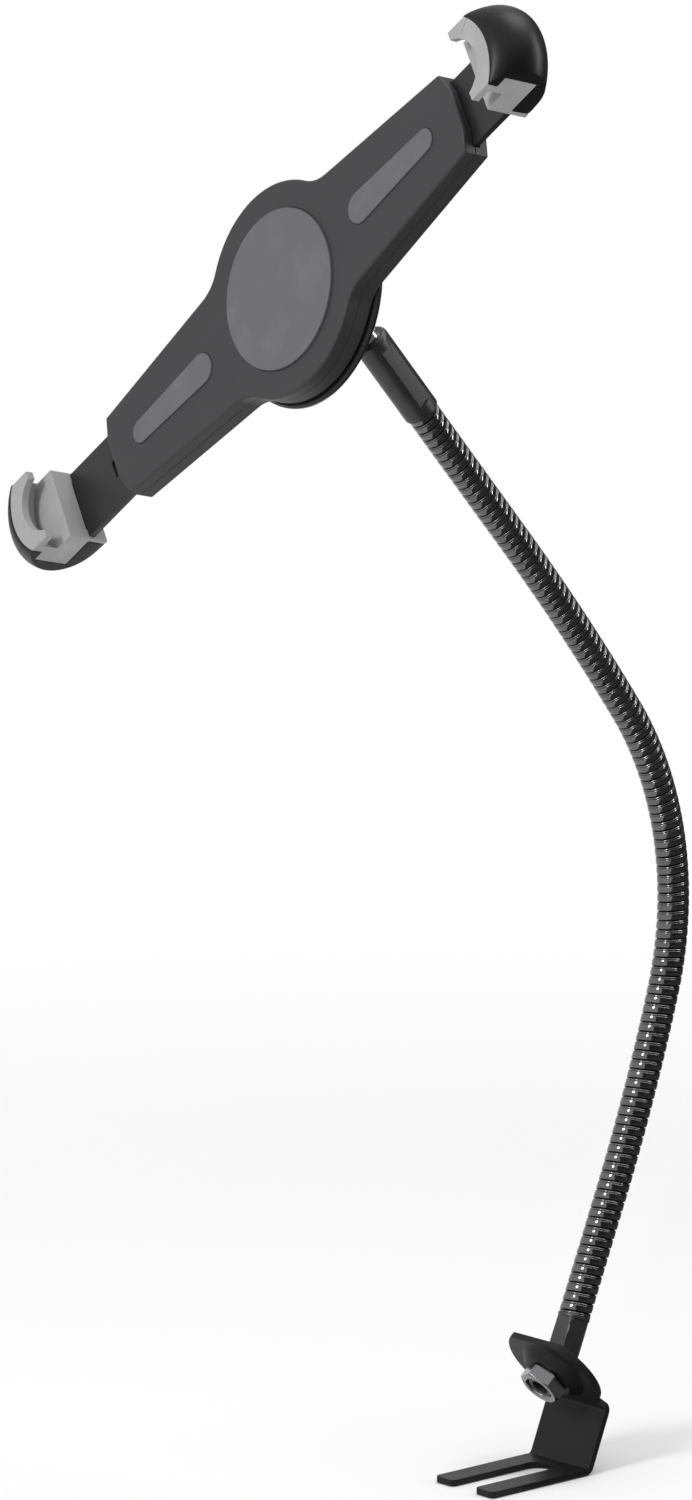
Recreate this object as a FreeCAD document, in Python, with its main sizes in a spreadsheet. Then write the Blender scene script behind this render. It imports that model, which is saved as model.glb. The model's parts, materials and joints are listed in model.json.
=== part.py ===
"""Tablet mount that bolts to the seat rail of a car.

A steel fork slips under the seat rail's bolt. A gooseneck rises from the fork's
plate to a ball joint, and the ball joint carries a diagonal cradle whose two
spring loaded jaws hold a tablet by opposite corners.

Millimetres, +Z up, the screen faces -Y. The origin is the centre of the fork
slot's round end, on the underside of the fork.
"""
import FreeCAD, Part
import math
import os

import Sketcher
from FreeCAD import Placement, Rotation, Vector

# Driving sizes in millimetres and degrees, one row of the sheet each.
SIZES = {
    # The bent steel plate
    "plate_thickness": 3.0,
    "fork_width": 38.0,
    "fork_length": 58.0,
    "fork_slot_width": 14.0,
    "fork_slot_land": 6.0,
    "tine_corner": 2.5,
    "bend_radius": 2.0,
    "upright_length": 27.3,
    "upright_lean": 22.0,
    "upright_shoulder": 3.0,
    "disc_diameter": 48.2,
    "disc_reach": 22.4,
    "disc_chord": 18.7,
    "disc_lean": 39.7,
    "boss_height": 4.5,
    "boss_root_radius": 16.5,
    "boss_top_radius": 12.0,
    # The fastening through the plate
    "stud_diameter": 12.0,
    "stud_play": 0.3,
    "stud_bore": 8.0,
    "nut_flats": 18.0,
    "nut_height": 7.0,
    "nut_turn": 32.0,
    "nut_recess": 1.0,
    "thread_play": 0.05,
    "washer_diameter": 20.0,
    "washer_thickness": 1.2,
    # The gooseneck and its end sleeves
    "elbow_radius": 14.0,
    "elbow_base": 3.2,
    "elbow_thickness": 7.0,
    "lower_sleeve_length": 17.0,
    "lower_sleeve_foot_radius": 8.0,
    "lower_sleeve_top_radius": 7.3,
    "lower_sleeve_flats": 13.6,
    "lower_sleeve_turn": 9.4,
    "lower_sleeve_lip": 1.2,
    "sleeve_flat_depth": 0.7,
    "sleeve_socket_depth": 6.0,
    "sleeve_play": 0.1,
    "neck_radius": 7.2,
    "neck_groove_depth": 1.0,
    "neck_bore": 5.2,
    "neck_spigot_radius": 5.4,
    "neck_lean": 23.0,
    "neck_foot_run": 54.6,
    "neck_foot_bend_radius": 812.0,
    "neck_foot_bend": 6.8,
    "neck_crook_radius": 146.8,
    "neck_crook_bend": 53.4,
    "neck_head_bend_radius": 1219.0,
    "neck_head_bend": 4.95,
    "neck_head_run": 82.7,
    "neck_knuckle_radius": 5.6,
    "neck_knuckle_gap": 1.1,
    "neck_knuckle_play": 0.06,
    "upper_sleeve_length": 45.0,
    "upper_sleeve_radius": 8.0,
    "upper_sleeve_shoulder": 2.5,
    # The ball joint
    "ball_radius": 10.0,
    "ball_neck_radius": 3.3,
    "ball_neck_length": 22.0,
    "ball_shank_length": 14.0,
    "ball_play": 0.05,
    "seat_wall": 1.35,
    "seat_opening_angle": 74.0,
    "seat_pole_hole": 3.0,
    "socket_thread_radius": 15.0,
    "socket_root_radius": 22.0,
    "collar_radius": 18.5,
    "collar_length": 13.5,
    "collar_flutes": 16,
    "collar_flute_radius": 1.6,
    # The swivel behind the cradle
    "flange_radius": 48.5,
    "flange_thickness": 3.1,
    "flange_gap": 0.4,
    "flange_edge": 1.0,
    "friction_ring_inner": 26.0,
    "friction_ring_outer": 38.0,
    "friction_ring_thickness": 1.0,
    "friction_ring_play": 0.05,
    "spigot_radius": 8.0,
    "spigot_play": 0.05,
    "swivel_washer_radius": 11.0,
    "swivel_washer_thickness": 1.2,
    "swivel_screw_radius": 2.5,
    "swivel_screw_head_radius": 4.6,
    "swivel_screw_length": 10.0,
    # The cradle's housing, measured in its own frame
    "ball_depth": 35.0,
    "cradle_tilt": 12.0,
    "cradle_turn": -3.3,
    "cradle_roll": 3.5,
    "cradle_diagonal": 37.0,
    "pad_rise": 1.0,
    "front_thickness": 6.0,
    "rear_thickness": 7.0,
    "hub_radius": 46.6,
    "arm_end": 126.0,
    "arm_end_half": 20.0,
    "arm_root": 1.25,
    "arm_root_half": 28.0,
    "arm_end_slant": 3.5,
    "arm_end_flat_half": 10.0,
    "arm_fillet": 20.0,
    "housing_edge": 1.2,
    "hub_pad_radius": 34.6,
    "hub_pad_thickness": 1.6,
    "pad_recess": 0.6,
    "pad_play": 0.1,
    "arm_pad_near": 58.0,
    "arm_pad_far": 104.0,
    "arm_pad_near_radius": 7.0,
    "arm_pad_far_radius": 5.2,
    "arm_pad_thickness": 1.2,
    "housing_screw_radius": 1.5,
    "housing_screw_head": 2.8,
    "housing_screw_head_height": 2.0,
    "housing_screw_length": 10.6,
    "screw_play": 0.1,
    "screw_boss_radius": 3.6,
    "arm_screw_near": 66.0,
    "arm_screw_far": 98.0,
    "hub_screw_offset": 38.0,
    # The sliding arms
    "slider_half": 16.4,
    "slider_thickness": 3.2,
    "slider_start": 46.0,
    "slider_tongue_half": 12.5,
    "slider_play": 0.3,
    "slider_back_depth": 9.2,
    "slider_slot_start": 54.0,
    "slider_slot_end": 126.0,
    "slider_slot_half": 4.1,
    "spring_offset": 14.0,
    "spring_radius": 1.7,
    "spring_wire": 0.6,
    "spring_eye_height": 1.2,
    "spring_eye_wall": 0.9,
    "spring_post_radius": 1.2,
    "spring_anchor": -24.0,
    "spring_tab": 50.0,
    "spring_channel_half": 2.4,
    "spring_channel_floor": 13.0,
    "slide_out": 8.0,
    # The jaws: where they begin, and how far each stands out from its middle place
    "upper_jaw_rest": -7.0,
    "lower_jaw_rest": 6.0,
    "jaw_inner": 153.3,
    "jaw_band": 2.4,
    "jaw_back": 16.4,
    "jaw_half": 17.6,
    "jaw_round": 24.0,
    "jaw_seat": 4.5,
    "jaw_grip": 7.0,
    "jaw_lip": 3.8,
    "liner_depth": 11.5,
    "liner_half": 17.3,
    "liner_radius": 26.0,
    "liner_step": 1.2,
    "lip_opening_radius": 14.0,
    "pocket_radius": 22.0,
    "tongue_boss_half": 14.0,
    "tongue_boss_roof": 2.4,
    "jaw_screw_offset": 7.5,
    "jaw_screw_head": 2.4,
    "jaw_screw_length": 11.3,
    # Places along the arm, measured outwards from where the jaw begins
    "slider_step": -0.1,
    "slider_end": 14.7,
    "jaw_back_tip": 11.2,
    "jaw_tip": 33.3,
    "jaw_rim_tip": 22.1,
    "liner_tip": 26.7,
    "lip_tip": 20.9,
    "lip_start": 3.2,
    "lip_opening_tip": 13.1,
    "pocket_tip": 18.4,
    "tongue_boss_end": 17.7,
    "jaw_screw_reach": 7.2,
}

NECK_SECTIONS = 5
NECK_RIBS = 18
# Where the four rings of one rib stand along its pitch, and how high they rise
# from the groove to the crown.
RIB_FORM = ((0.0, 0.0), (0.2, 0.85), (0.5, 1.0), (0.8, 0.85))

X_AXIS = Vector(1, 0, 0)
Z_AXIS = Vector(0, 0, 1)
ORIGIN = Vector(0, 0, 0)

doc = FreeCAD.newDocument("seat_rail_tablet_mount")
sheet = doc.addObject("Spreadsheet::Sheet", "Sizes")
for row, (alias, number) in enumerate(SIZES.items(), start=1):
    sheet.set(f"A{row}", alias.replace("_", " "))
    sheet.set(f"B{row}", str(number))
    sheet.setAlias(f"B{row}", alias)
doc.recompute()

parts = []


def size(alias):
    """The number that a row of the sheet holds."""
    return float(sheet.get(alias))


def along(alias):
    """The distance from the hub of a place that is measured from where the jaw begins."""
    return size("jaw_inner") + size(alias)


def along_expression(alias):
    """The same distance, as an expression for a sketch."""
    return f"(Sizes.jaw_inner + Sizes.{alias})"


def keep(piece, label, placement=Placement()):
    """Name a finished sub-part, place it and list it for export."""
    piece.Label = label
    piece.Placement = placement
    parts.append(piece)
    return piece


def solid_piece(label, shape, placement=Placement()):
    """Hold a shape worked out below as one sub-part."""
    feature = doc.addObject("Part::Feature", label)
    feature.Shape = shape
    return keep(feature, label, placement)


# Sketch helpers


def new_body(name):
    return doc.addObject("PartDesign::Body", name)


def new_sketch(body, name, height, role="XY_Plane"):
    """A sketch on one of the body's own origin planes, lifted by an expression."""
    sketch = body.newObject("Sketcher::SketchObject", name)
    plane = [item for item in body.Origin.OriginFeatures if item.Role == role][0]
    sketch.AttachmentSupport = [(plane, "")]
    sketch.MapMode = "FlatFace"
    sketch.setExpression("AttachmentOffset.Base.z", height)
    return sketch


def bind(sketch, kind, geometry, point, expression):
    """Constrain one coordinate or radius and tie it to the sheet."""
    if kind == "Radius":
        number = sketch.addConstraint(Sketcher.Constraint(kind, geometry, 1.0))
    else:
        number = sketch.addConstraint(
            Sketcher.Constraint(kind, -1, 1, geometry, point, 1.0)
        )
    sketch.setExpression(f"Constraints[{number}]", expression)


def draw_circle(sketch, x, y, radius):
    circle = sketch.addGeometry(Part.Circle(ORIGIN, Z_AXIS, 1.0))
    bind(sketch, "DistanceX", circle, 3, x)
    bind(sketch, "DistanceY", circle, 3, y)
    bind(sketch, "Radius", circle, 3, radius)


def draw_polygon(sketch, corners):
    """A closed outline through corners given as pairs of expressions."""
    count = len(corners)
    start = [
        Vector(math.cos(2 * math.pi * i / count), math.sin(2 * math.pi * i / count), 0)
        for i in range(count)
    ]
    lines = [
        sketch.addGeometry(Part.LineSegment(start[i], start[(i + 1) % count]))
        for i in range(count)
    ]
    for i, line in enumerate(lines):
        following = lines[(i + 1) % count]
        sketch.addConstraint(Sketcher.Constraint("Coincident", line, 2, following, 1))
        bind(sketch, "DistanceX", line, 1, corners[i][0])
        bind(sketch, "DistanceY", line, 1, corners[i][1])


def box_corners(x_low, x_high, y_low, y_high):
    return [(x_low, y_low), (x_high, y_low), (x_high, y_high), (x_low, y_high)]


def raise_from(body, sketch, name, height):
    pad = body.newObject("PartDesign::Pad", name)
    pad.Profile = sketch
    pad.setExpression("Length", height)
    return pad


def sink_from(body, sketch, name, depth, upward=False):
    """Cut a sketch's outline down from its plane, or up, and see that it cuts."""
    doc.recompute()
    before = body.Shape.Volume
    pocket = body.newObject("PartDesign::Pocket", name)
    pocket.Profile = sketch
    pocket.setExpression("Length", depth)
    pocket.Reversed = upward
    doc.recompute()
    if body.Shape.Volume > before - 0.01:
        raise RuntimeError(f"{name} cuts nothing")
    return pocket


def edges_where(feature, test):
    """Names of a feature's edges whose shape passes a test."""
    doc.recompute()
    edges = feature.Shape.Edges
    return [f"Edge{i + 1}" for i, edge in enumerate(edges) if test(edge)]


def fillet_edges(body, feature, name, radius, test):
    names = edges_where(feature, test)
    if not names:
        raise RuntimeError(f"{name} finds no edge")
    fillet = body.newObject("PartDesign::Fillet", name)
    fillet.Base = (feature, names)
    fillet.setExpression("Radius", radius)
    return fillet


def middle(edge):
    return edge.valueAt((edge.FirstParameter + edge.LastParameter) / 2)


# Solid helpers


def disc_solid(radius, low, high, x=0.0, y=0.0):
    """An upright cylinder between two heights."""
    return Part.makeCylinder(radius, high - low, Vector(x, y, low))


def box_solid(low, high):
    return Part.makeBox(*(high - low), low)


def prism(corners, height):
    """A closed outline raised along Z."""
    return Part.Face(Part.makePolygon(corners + corners[:1])).extrude(Z_AXIS * height)


def hexagon_solid(corner_radius, low, high):
    """An upright hexagon with two corners on the X axis."""
    angles = [math.radians(60 * i) for i in range(6)]
    corners = [
        Vector(corner_radius * math.cos(angle), corner_radius * math.sin(angle), low)
        for angle in angles
    ]
    return prism(corners, high - low)


def turned(points, angle=360.0):
    """A solid of revolution about Z from (radius, height) points."""
    corners = [Vector(radius, 0, height) for radius, height in points]
    wire = Part.makePolygon(corners + corners[:1])
    return Part.Face(wire).revolve(ORIGIN, Z_AXIS, angle)


def plate_frame(angle, y, z):
    """A frame on the bent plate: X across, Y along the plate, Z off its inner face."""
    return Placement(Vector(0, y, z), Rotation(X_AXIS, angle))


# The bent plate

plate = size("plate_thickness")
slot_radius = size("fork_slot_width") / 2
fork_half = size("fork_width") / 2
bend_y = size("fork_slot_land") + slot_radius
upright_angle = 90 - size("upright_lean")
disc_angle = 90 + size("disc_lean")
fork_frame = plate_frame(0, bend_y, plate)
upright_frame = plate_frame(upright_angle, bend_y, plate)
lower_bend = fork_frame.Base
upper_bend = upright_frame.multVec(Vector(0, size("upright_length"), 0))
upright_frame.Base = upper_bend
disc_frame = plate_frame(disc_angle, upper_bend.y, upper_bend.z)
disc_frame = disc_frame * Placement(Vector(0, size("disc_reach"), 0), Rotation())


def bend_setback(turn):
    """How far a bend's flat stays short of the sharp corner."""
    return size("bend_radius") * math.tan(math.radians(turn / 2))


def plate_bend(half_width, angle_before, turn, corner):
    """The curved strip between two flats of the plate."""
    inner = size("bend_radius")
    frame = plate_frame(angle_before, corner.y, corner.z)
    start = -bend_setback(turn)
    section = Part.makePlane(
        2 * half_width, plate, Vector(-half_width, start, 0), Vector(0, 1, 0), X_AXIS
    )
    strip = section.revolve(Vector(0, start, inner), X_AXIS, turn)
    strip.Placement = frame * strip.Placement
    return strip


def fork_outline():
    """The fork's flat, with two tines and a slot that is open at their tips."""
    setback = bend_setback(upright_angle)
    corner = size("tine_corner")
    flat = box_solid(
        Vector(-fork_half, -size("fork_length"), -plate), Vector(fork_half, -setback, 0)
    )
    slot_end = -bend_y
    slot = disc_solid(slot_radius, -plate, 0, 0, slot_end)
    slot = slot.fuse(
        box_solid(
            Vector(-slot_radius, -size("fork_length"), -plate),
            Vector(slot_radius, slot_end, 0),
        )
    )
    flat = flat.cut(slot).removeSplitter()
    tip_edges = [
        edge
        for edge in flat.Edges
        if abs(middle(edge).y + size("fork_length")) < 1e-6
        and abs(edge.Length - plate) < 1e-6
        and abs(edge.Vertexes[0].Z - edge.Vertexes[-1].Z) > 1e-6
    ]
    return flat.makeFillet(corner, tip_edges)


def pressed_boss(disc):
    """Push a round boss out of the disc's underside, hollow on the other face."""
    height = size("boss_height")
    root, top = size("boss_root_radius"), size("boss_top_radius")
    slope = math.atan2(height, root - top)
    inset = plate * math.tan(slope / 2)
    boss = Part.makeCone(root, top, height)
    hollow = Part.makeCone(root - inset, top - inset, height, Vector(0, 0, -plate))
    hole = disc_solid(size("stud_diameter") / 2 + size("stud_play"), -plate, height)
    return disc.fuse(boss).cut([hollow, hole])


def seat_rail_bracket():
    shoulder = size("upright_shoulder")
    low = bend_setback(upright_angle)
    turn = disc_angle - upright_angle
    high = -bend_setback(turn)
    upright = box_solid(
        Vector(-fork_half, low - size("upright_length"), -plate), Vector(fork_half, high, 0)
    )
    upright.Placement = upright_frame
    radius = size("disc_diameter") / 2
    disc = disc_solid(radius, -plate, 0)
    beyond = box_solid(
        Vector(-radius, size("disc_chord"), -plate), Vector(radius, radius, 0)
    )
    foot = bend_setback(turn) - size("disc_reach")
    narrow = fork_half - shoulder
    corners = [
        (-fork_half, foot),
        (fork_half, foot),
        (narrow, foot + shoulder),
        (narrow, 0),
        (-narrow, 0),
        (-narrow, foot + shoulder),
    ]
    tongue = prism([Vector(x, y, -plate) for x, y in corners], plate)
    disc = pressed_boss(disc.cut(beyond).fuse(tongue))
    disc.Placement = disc_frame
    fork = fork_outline()
    fork.Placement = fork_frame
    pieces = [
        upright,
        disc,
        plate_bend(fork_half, 0, upright_angle, lower_bend),
        plate_bend(fork_half, upright_angle, turn, upper_bend),
    ]
    return fork.multiFuse(pieces).removeSplitter()


solid_piece("seat_rail_bracket", seat_rail_bracket())

# The fastening, built along the outer normal of the plate's disc from the boss's face

stud_frame = disc_frame * Placement(Vector(0, 0, size("boss_height")), Rotation(X_AXIS, 180))
stud_radius = size("stud_diameter") / 2


def plain_washer():
    low = plate
    high = low + size("washer_thickness")
    washer = disc_solid(size("washer_diameter") / 2, low, high)
    return washer.cut(disc_solid(stud_radius + size("stud_play"), low, high))


def hex_nut():
    """A hexagon with both faces chamfered to its flats and a bevelled hole."""
    height = size("nut_height")
    corner = size("nut_flats") / 2 / math.cos(math.radians(30))
    nut = hexagon_solid(corner, -height, 0)
    nut.rotate(ORIGIN, Z_AXIS, size("nut_turn"))
    bevel = corner - size("nut_flats") / 2 * 0.97
    rise = bevel * math.tan(math.radians(30))
    crown = turned(
        [
            (0, -height),
            (corner - bevel, -height),
            (corner, rise - height),
            (corner, -rise),
            (corner - bevel, 0),
            (0, 0),
        ]
    )
    bore = stud_radius + size("thread_play")
    mouth = 1.0
    hole = turned(
        [
            (0, -height),
            (bore + mouth, -height),
            (bore, mouth - height),
            (bore, -mouth),
            (bore + mouth, 0),
            (0, 0),
        ]
    )
    return nut.common(crown).cut(hole)


solid_piece("plain_washer", plain_washer(), stud_frame)
solid_piece("hex_nut", hex_nut(), stud_frame)

# The gooseneck's line in the plane X = 0, from the plate's inner face to the ball

NECK_ROUTE = (
    ("run", plate + size("washer_thickness") + size("elbow_base"), 0),
    ("bend", size("elbow_radius"), 90 - size("disc_lean") - size("neck_lean")),
    ("run", size("lower_sleeve_length"), 0),
    ("run", size("neck_foot_run"), 0),
    ("bend", size("neck_foot_bend_radius"), size("neck_foot_bend")),
    ("bend", size("neck_crook_radius"), size("neck_crook_bend")),
    ("bend", size("neck_head_bend_radius"), size("neck_head_bend")),
    ("run", size("neck_head_run"), 0),
    ("run", size("upper_sleeve_length"), 0),
    ("run", size("ball_neck_length"), 0),
)


def stretch_length(kind, amount, turn):
    return amount if kind == "run" else amount * math.radians(turn)


def neck_distance(stretches):
    """The line's length over its first few stretches."""
    return sum(stretch_length(*stretch) for stretch in NECK_ROUTE[:stretches])


def neck_frame(distance):
    """A frame on the line: Z along it, X steady. The line only ever bends towards -Y."""
    frame = stud_frame
    for kind, amount, turn in NECK_ROUTE:
        part = min(distance, stretch_length(kind, amount, turn))
        if kind == "run":
            frame = frame * Placement(Vector(0, 0, part), Rotation())
        else:
            swept = part / amount
            step = Vector(0, amount * (math.cos(swept) - 1), amount * math.sin(swept))
            frame = frame * Placement(step, Rotation(X_AXIS, math.degrees(swept)))
        distance -= part
        if distance <= 0:
            break
    return frame


elbow_start = neck_distance(1)
sleeve_start = neck_distance(2)
neck_start = neck_distance(3)
neck_end = neck_distance(8)
ball_distance = neck_distance(10)
section_length = (neck_end - neck_start) / NECK_SECTIONS


def ring(distance, radius):
    """A circle round the gooseneck's line."""
    wire = Part.Wire(Part.Circle(ORIGIN, Z_AXIS, radius).toShape())
    wire.Placement = neck_frame(distance)
    return wire


def straight_round(start, end, start_radius, end_radius=None):
    """A straight round bar on the line, from one distance to a later one."""
    end_radius = start_radius if end_radius is None else end_radius
    height = end - start
    if abs(start_radius - end_radius) < 1e-9:
        bar = Part.makeCylinder(start_radius, height)
    else:
        bar = Part.makeCone(start_radius, end_radius, height)
    bar.Placement = neck_frame(start)
    return bar


def elbow(radius):
    """The bent round between the plate and the lower sleeve."""
    bend = size("elbow_radius")
    turn = NECK_ROUTE[1][2]
    face = Part.Face(Part.Wire(Part.Circle(ORIGIN, Z_AXIS, radius).toShape()))
    bar = face.revolve(Vector(0, -bend, 0), X_AXIS, turn)
    bar.Placement = neck_frame(elbow_start)
    return bar


def sleeve_flats(start, end, across):
    """Two slabs that leave wrench flats on a sleeve, facing +X and -X."""
    reach = 2 * size("neck_radius")
    slabs = []
    for low, high in ((across, across + reach), (-across - reach, -across)):
        slab = box_solid(Vector(low, -reach, 0), Vector(high, reach, end - start))
        slab.Placement = neck_frame(start)
        slabs.append(slab)
    return slabs


def lower_ferrule():
    """Threaded stud, elbow and six sided sleeve under a round lip, bored through."""
    thickness = size("elbow_thickness")
    stud_low = size("nut_recess") - size("nut_height")
    shoulder = plate + size("washer_thickness")
    body = straight_round(shoulder, elbow_start, thickness)
    stud = disc_solid(stud_radius, stud_low, shoulder)
    stud.Placement = stud_frame
    foot, top = size("lower_sleeve_foot_radius"), size("lower_sleeve_top_radius")
    lip_start = neck_start - size("lower_sleeve_lip")
    corner = size("lower_sleeve_flats") / 2 / math.cos(math.radians(30))
    hexagon = hexagon_solid(corner, 0, lip_start - sleeve_start)
    hexagon.Placement = neck_frame(sleeve_start) * Placement(
        ORIGIN, Rotation(Z_AXIS, size("lower_sleeve_turn"))
    )
    sleeve = straight_round(sleeve_start, lip_start, foot, top).common(hexagon)
    lip = straight_round(lip_start, neck_start, top)
    body = body.multiFuse([stud, elbow(thickness), sleeve, lip])
    bore = size("stud_bore") / 2
    stud_hole = disc_solid(bore, stud_low, shoulder)
    stud_hole.Placement = stud_frame
    socket = size("neck_spigot_radius") + size("sleeve_play")
    cuts = [
        stud_hole,
        straight_round(shoulder, elbow_start, bore),
        elbow(bore),
        straight_round(sleeve_start, neck_start, bore),
        straight_round(neck_start - size("sleeve_socket_depth"), neck_start, socket),
    ]
    return body.cut(cuts).removeSplitter()


def neck_section(index):
    """One length of ribbed tube, with a ball above and a cup below."""
    first = index == 0
    last = index == NECK_SECTIONS - 1
    gap = size("neck_knuckle_gap")
    start = neck_start + index * section_length + (0 if first else gap)
    end = neck_start + (index + 1) * section_length - (0 if last else gap)
    groove = size("neck_radius") - size("neck_groove_depth")
    pitch = (end - start) / NECK_RIBS
    rings = [
        ring(start + (rib + share) * pitch, groove + rise * size("neck_groove_depth"))
        for rib in range(NECK_RIBS)
        for share, rise in RIB_FORM
    ]
    tube = Part.makeLoft(rings + [ring(end, groove)], True, True)
    depth = size("sleeve_socket_depth")
    knuckle = size("neck_knuckle_radius")
    spigot = size("neck_spigot_radius")
    if first:
        tube = tube.fuse(straight_round(start - depth, start, spigot))
    else:
        cup = Part.makeSphere(knuckle + size("neck_knuckle_play"))
        cup.Placement = neck_frame(start - gap)
        tube = tube.cut(cup)
    if last:
        tube = tube.fuse(straight_round(end, end + depth, spigot))
    else:
        ball = Part.makeSphere(knuckle)
        ball.Placement = neck_frame(end + gap)
        tube = tube.fuse(ball)
    bore_start = start - (depth if first else 0)
    bore_end = end + (depth if last else gap + knuckle + 1)
    steps = NECK_RIBS + 2
    bore_rings = [
        ring(bore_start + (bore_end - bore_start) * step / steps, size("neck_bore") / 2)
        for step in range(steps + 1)
    ]
    return tube.cut(Part.makeLoft(bore_rings, True, True))


def upper_ferrule():
    """The smooth sleeve below the ball, with a rounded top and wrench flats."""
    radius = size("upper_sleeve_radius")
    start = neck_end
    end = neck_end + size("upper_sleeve_length")
    body = Part.makeCylinder(radius, end - start)
    top = [edge for edge in body.Edges if abs(middle(edge).z - (end - start)) < 1e-6]
    body = body.makeFillet(size("upper_sleeve_shoulder"), top)
    body.Placement = neck_frame(start)
    body = body.cut(sleeve_flats(start + 6, end - 6, radius - size("sleeve_flat_depth")))
    socket = size("neck_spigot_radius") + size("sleeve_play")
    shank = size("ball_neck_radius") + size("thread_play")
    cuts = [
        straight_round(start, start + size("sleeve_socket_depth"), socket),
        straight_round(start, end, size("neck_bore") / 2),
        straight_round(end - size("ball_shank_length"), end, shank),
    ]
    return body.cut(cuts)


def ball_stud():
    """The ball on its neck and threaded shank, from primitives tied to the sheet."""
    ball = doc.addObject("Part::Sphere", "ball")
    ball.setExpression("Radius", "Sizes.ball_radius")
    neck = doc.addObject("Part::Cylinder", "ball_neck")
    neck.setExpression("Radius", "Sizes.ball_neck_radius")
    neck.setExpression("Height", "Sizes.ball_neck_length + Sizes.ball_shank_length")
    neck.setExpression("Placement.Base.z", "-(Sizes.ball_neck_length + Sizes.ball_shank_length)")
    stop = doc.addObject("Part::Cylinder", "ball_stop")
    stop.setExpression("Radius", "Sizes.ball_neck_radius * 1.6")
    stop.setExpression("Height", "Sizes.ball_neck_radius")
    stop.setExpression("Placement.Base.z", "-Sizes.ball_neck_length")
    stud = doc.addObject("Part::MultiFuse", "ball_stud")
    stud.Shapes = [ball, neck, stop]
    return keep(stud, "ball_stud", neck_frame(ball_distance))


solid_piece("lower_ferrule", lower_ferrule())
for section in range(NECK_SECTIONS):
    solid_piece(f"gooseneck_section_{section + 1}", neck_section(section))
solid_piece("upper_ferrule", upper_ferrule())
ball_stud()

# The cradle's own frame: X along its diagonal, Z out of the screen, from the pads

ball_centre = neck_frame(ball_distance).Base
cradle_turn = Rotation(Z_AXIS, size("cradle_turn")) * Rotation(X_AXIS, 90 - size("cradle_tilt"))
cradle_turn = cradle_turn * Rotation(Z_AXIS, size("cradle_diagonal") + size("cradle_roll"))
screen_normal = cradle_turn.multVec(Z_AXIS)
cradle_frame = Placement(ball_centre + screen_normal * size("ball_depth"), cradle_turn)
lower_frame = cradle_frame * Placement(ORIGIN, Rotation(Z_AXIS, 180))
ball_height = -size("ball_depth")
ball_point = Vector(0, 0, ball_height)

front_top = -size("pad_rise")
seam = front_top - size("front_thickness")
rear_back = seam - size("rear_thickness")
slider_back = -size("slider_back_depth")
channel_floor = slider_back - size("slider_play")
FRONT_TOP = "-Sizes.pad_rise"
SEAM = "-(Sizes.pad_rise + Sizes.front_thickness)"
REAR_BACK = "-(Sizes.pad_rise + Sizes.front_thickness + Sizes.rear_thickness)"
SLIDER_BACK = "-Sizes.slider_back_depth"
CHANNEL_FLOOR = "-(Sizes.slider_back_depth + Sizes.slider_play)"

# The ball's seat, its socket, the locking collar and the swivel


def opening_cone():
    """The way out of the socket for the ball's neck."""
    angle = math.radians(size("seat_opening_angle"))
    depth = size("collar_radius")
    return Part.makeCone(0, depth * math.tan(angle), depth, ball_point, -Z_AXIS)


def ball_seat():
    inner = size("ball_radius") + size("ball_play")
    outer = inner + size("seat_wall")
    seat = Part.makeSphere(outer, ball_point).cut(Part.makeSphere(inner, ball_point))
    hole = disc_solid(size("seat_pole_hole"), ball_height, ball_height + 2 * outer)
    return seat.cut([opening_cone(), hole])


socket_hollow = size("ball_radius") + size("seat_wall") + 2 * size("ball_play")
flange_front = rear_back - size("flange_gap")
flange_back = flange_front - size("flange_thickness")
spigot_top = channel_floor - size("swivel_washer_thickness") - 0.65
collar_front = ball_height + size("collar_length") - 4


def swivel_flange():
    """The round plate behind the hub, with a spigot in front and a socket behind."""
    edge = size("flange_edge")
    thread = size("socket_thread_radius")
    body = turned(
        [
            (0, spigot_top),
            (size("spigot_radius"), spigot_top),
            (size("spigot_radius"), flange_front),
            (size("flange_radius") - edge, flange_front),
            (size("flange_radius"), flange_front - edge),
            (size("flange_radius"), flange_back + edge),
            (size("flange_radius") - edge, flange_back),
            (size("socket_root_radius"), flange_back),
            (thread, collar_front + 1),
            (thread, ball_height + 0.1),
            (0, ball_height + 0.1),
        ]
    )
    groove_floor = rear_back - size("friction_ring_thickness")
    groove = disc_solid(size("friction_ring_outer"), groove_floor, flange_front)
    groove = groove.cut(disc_solid(size("friction_ring_inner"), groove_floor, flange_front))
    screw = size("swivel_screw_radius") + size("thread_play")
    screw_hole = disc_solid(screw, spigot_top - size("swivel_screw_length"), spigot_top)
    return body.cut([Part.makeSphere(socket_hollow, ball_point), groove, screw_hole])


def friction_ring():
    low = rear_back - size("friction_ring_thickness")
    high = rear_back - size("friction_ring_play")
    ring_solid = disc_solid(size("friction_ring_outer"), low, high)
    return ring_solid.cut(disc_solid(size("friction_ring_inner"), low, high))


def screw_cone(radius, head_radius, top):
    """A countersunk head, its flat face up."""
    depth = head_radius - radius
    return Part.makeCone(radius, head_radius, depth, Vector(0, 0, top - depth))


def swivel_washer():
    top = spigot_top + size("swivel_washer_thickness")
    washer = disc_solid(size("swivel_washer_radius"), spigot_top, top)
    screw = size("swivel_screw_radius")
    head = size("swivel_screw_head_radius") * 0.8
    return washer.cut([disc_solid(screw + 0.1, spigot_top, top), screw_cone(screw, head, top)])


def swivel_screw():
    top = spigot_top + size("swivel_washer_thickness")
    radius = size("swivel_screw_radius")
    head = size("swivel_screw_head_radius") * 0.8
    shank = disc_solid(radius, spigot_top - size("swivel_screw_length") + 0.5, top)
    recess = hexagon_solid(1.4, top - 1.5, top)
    return shank.fuse(screw_cone(radius, head, top)).cut(recess)


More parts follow.
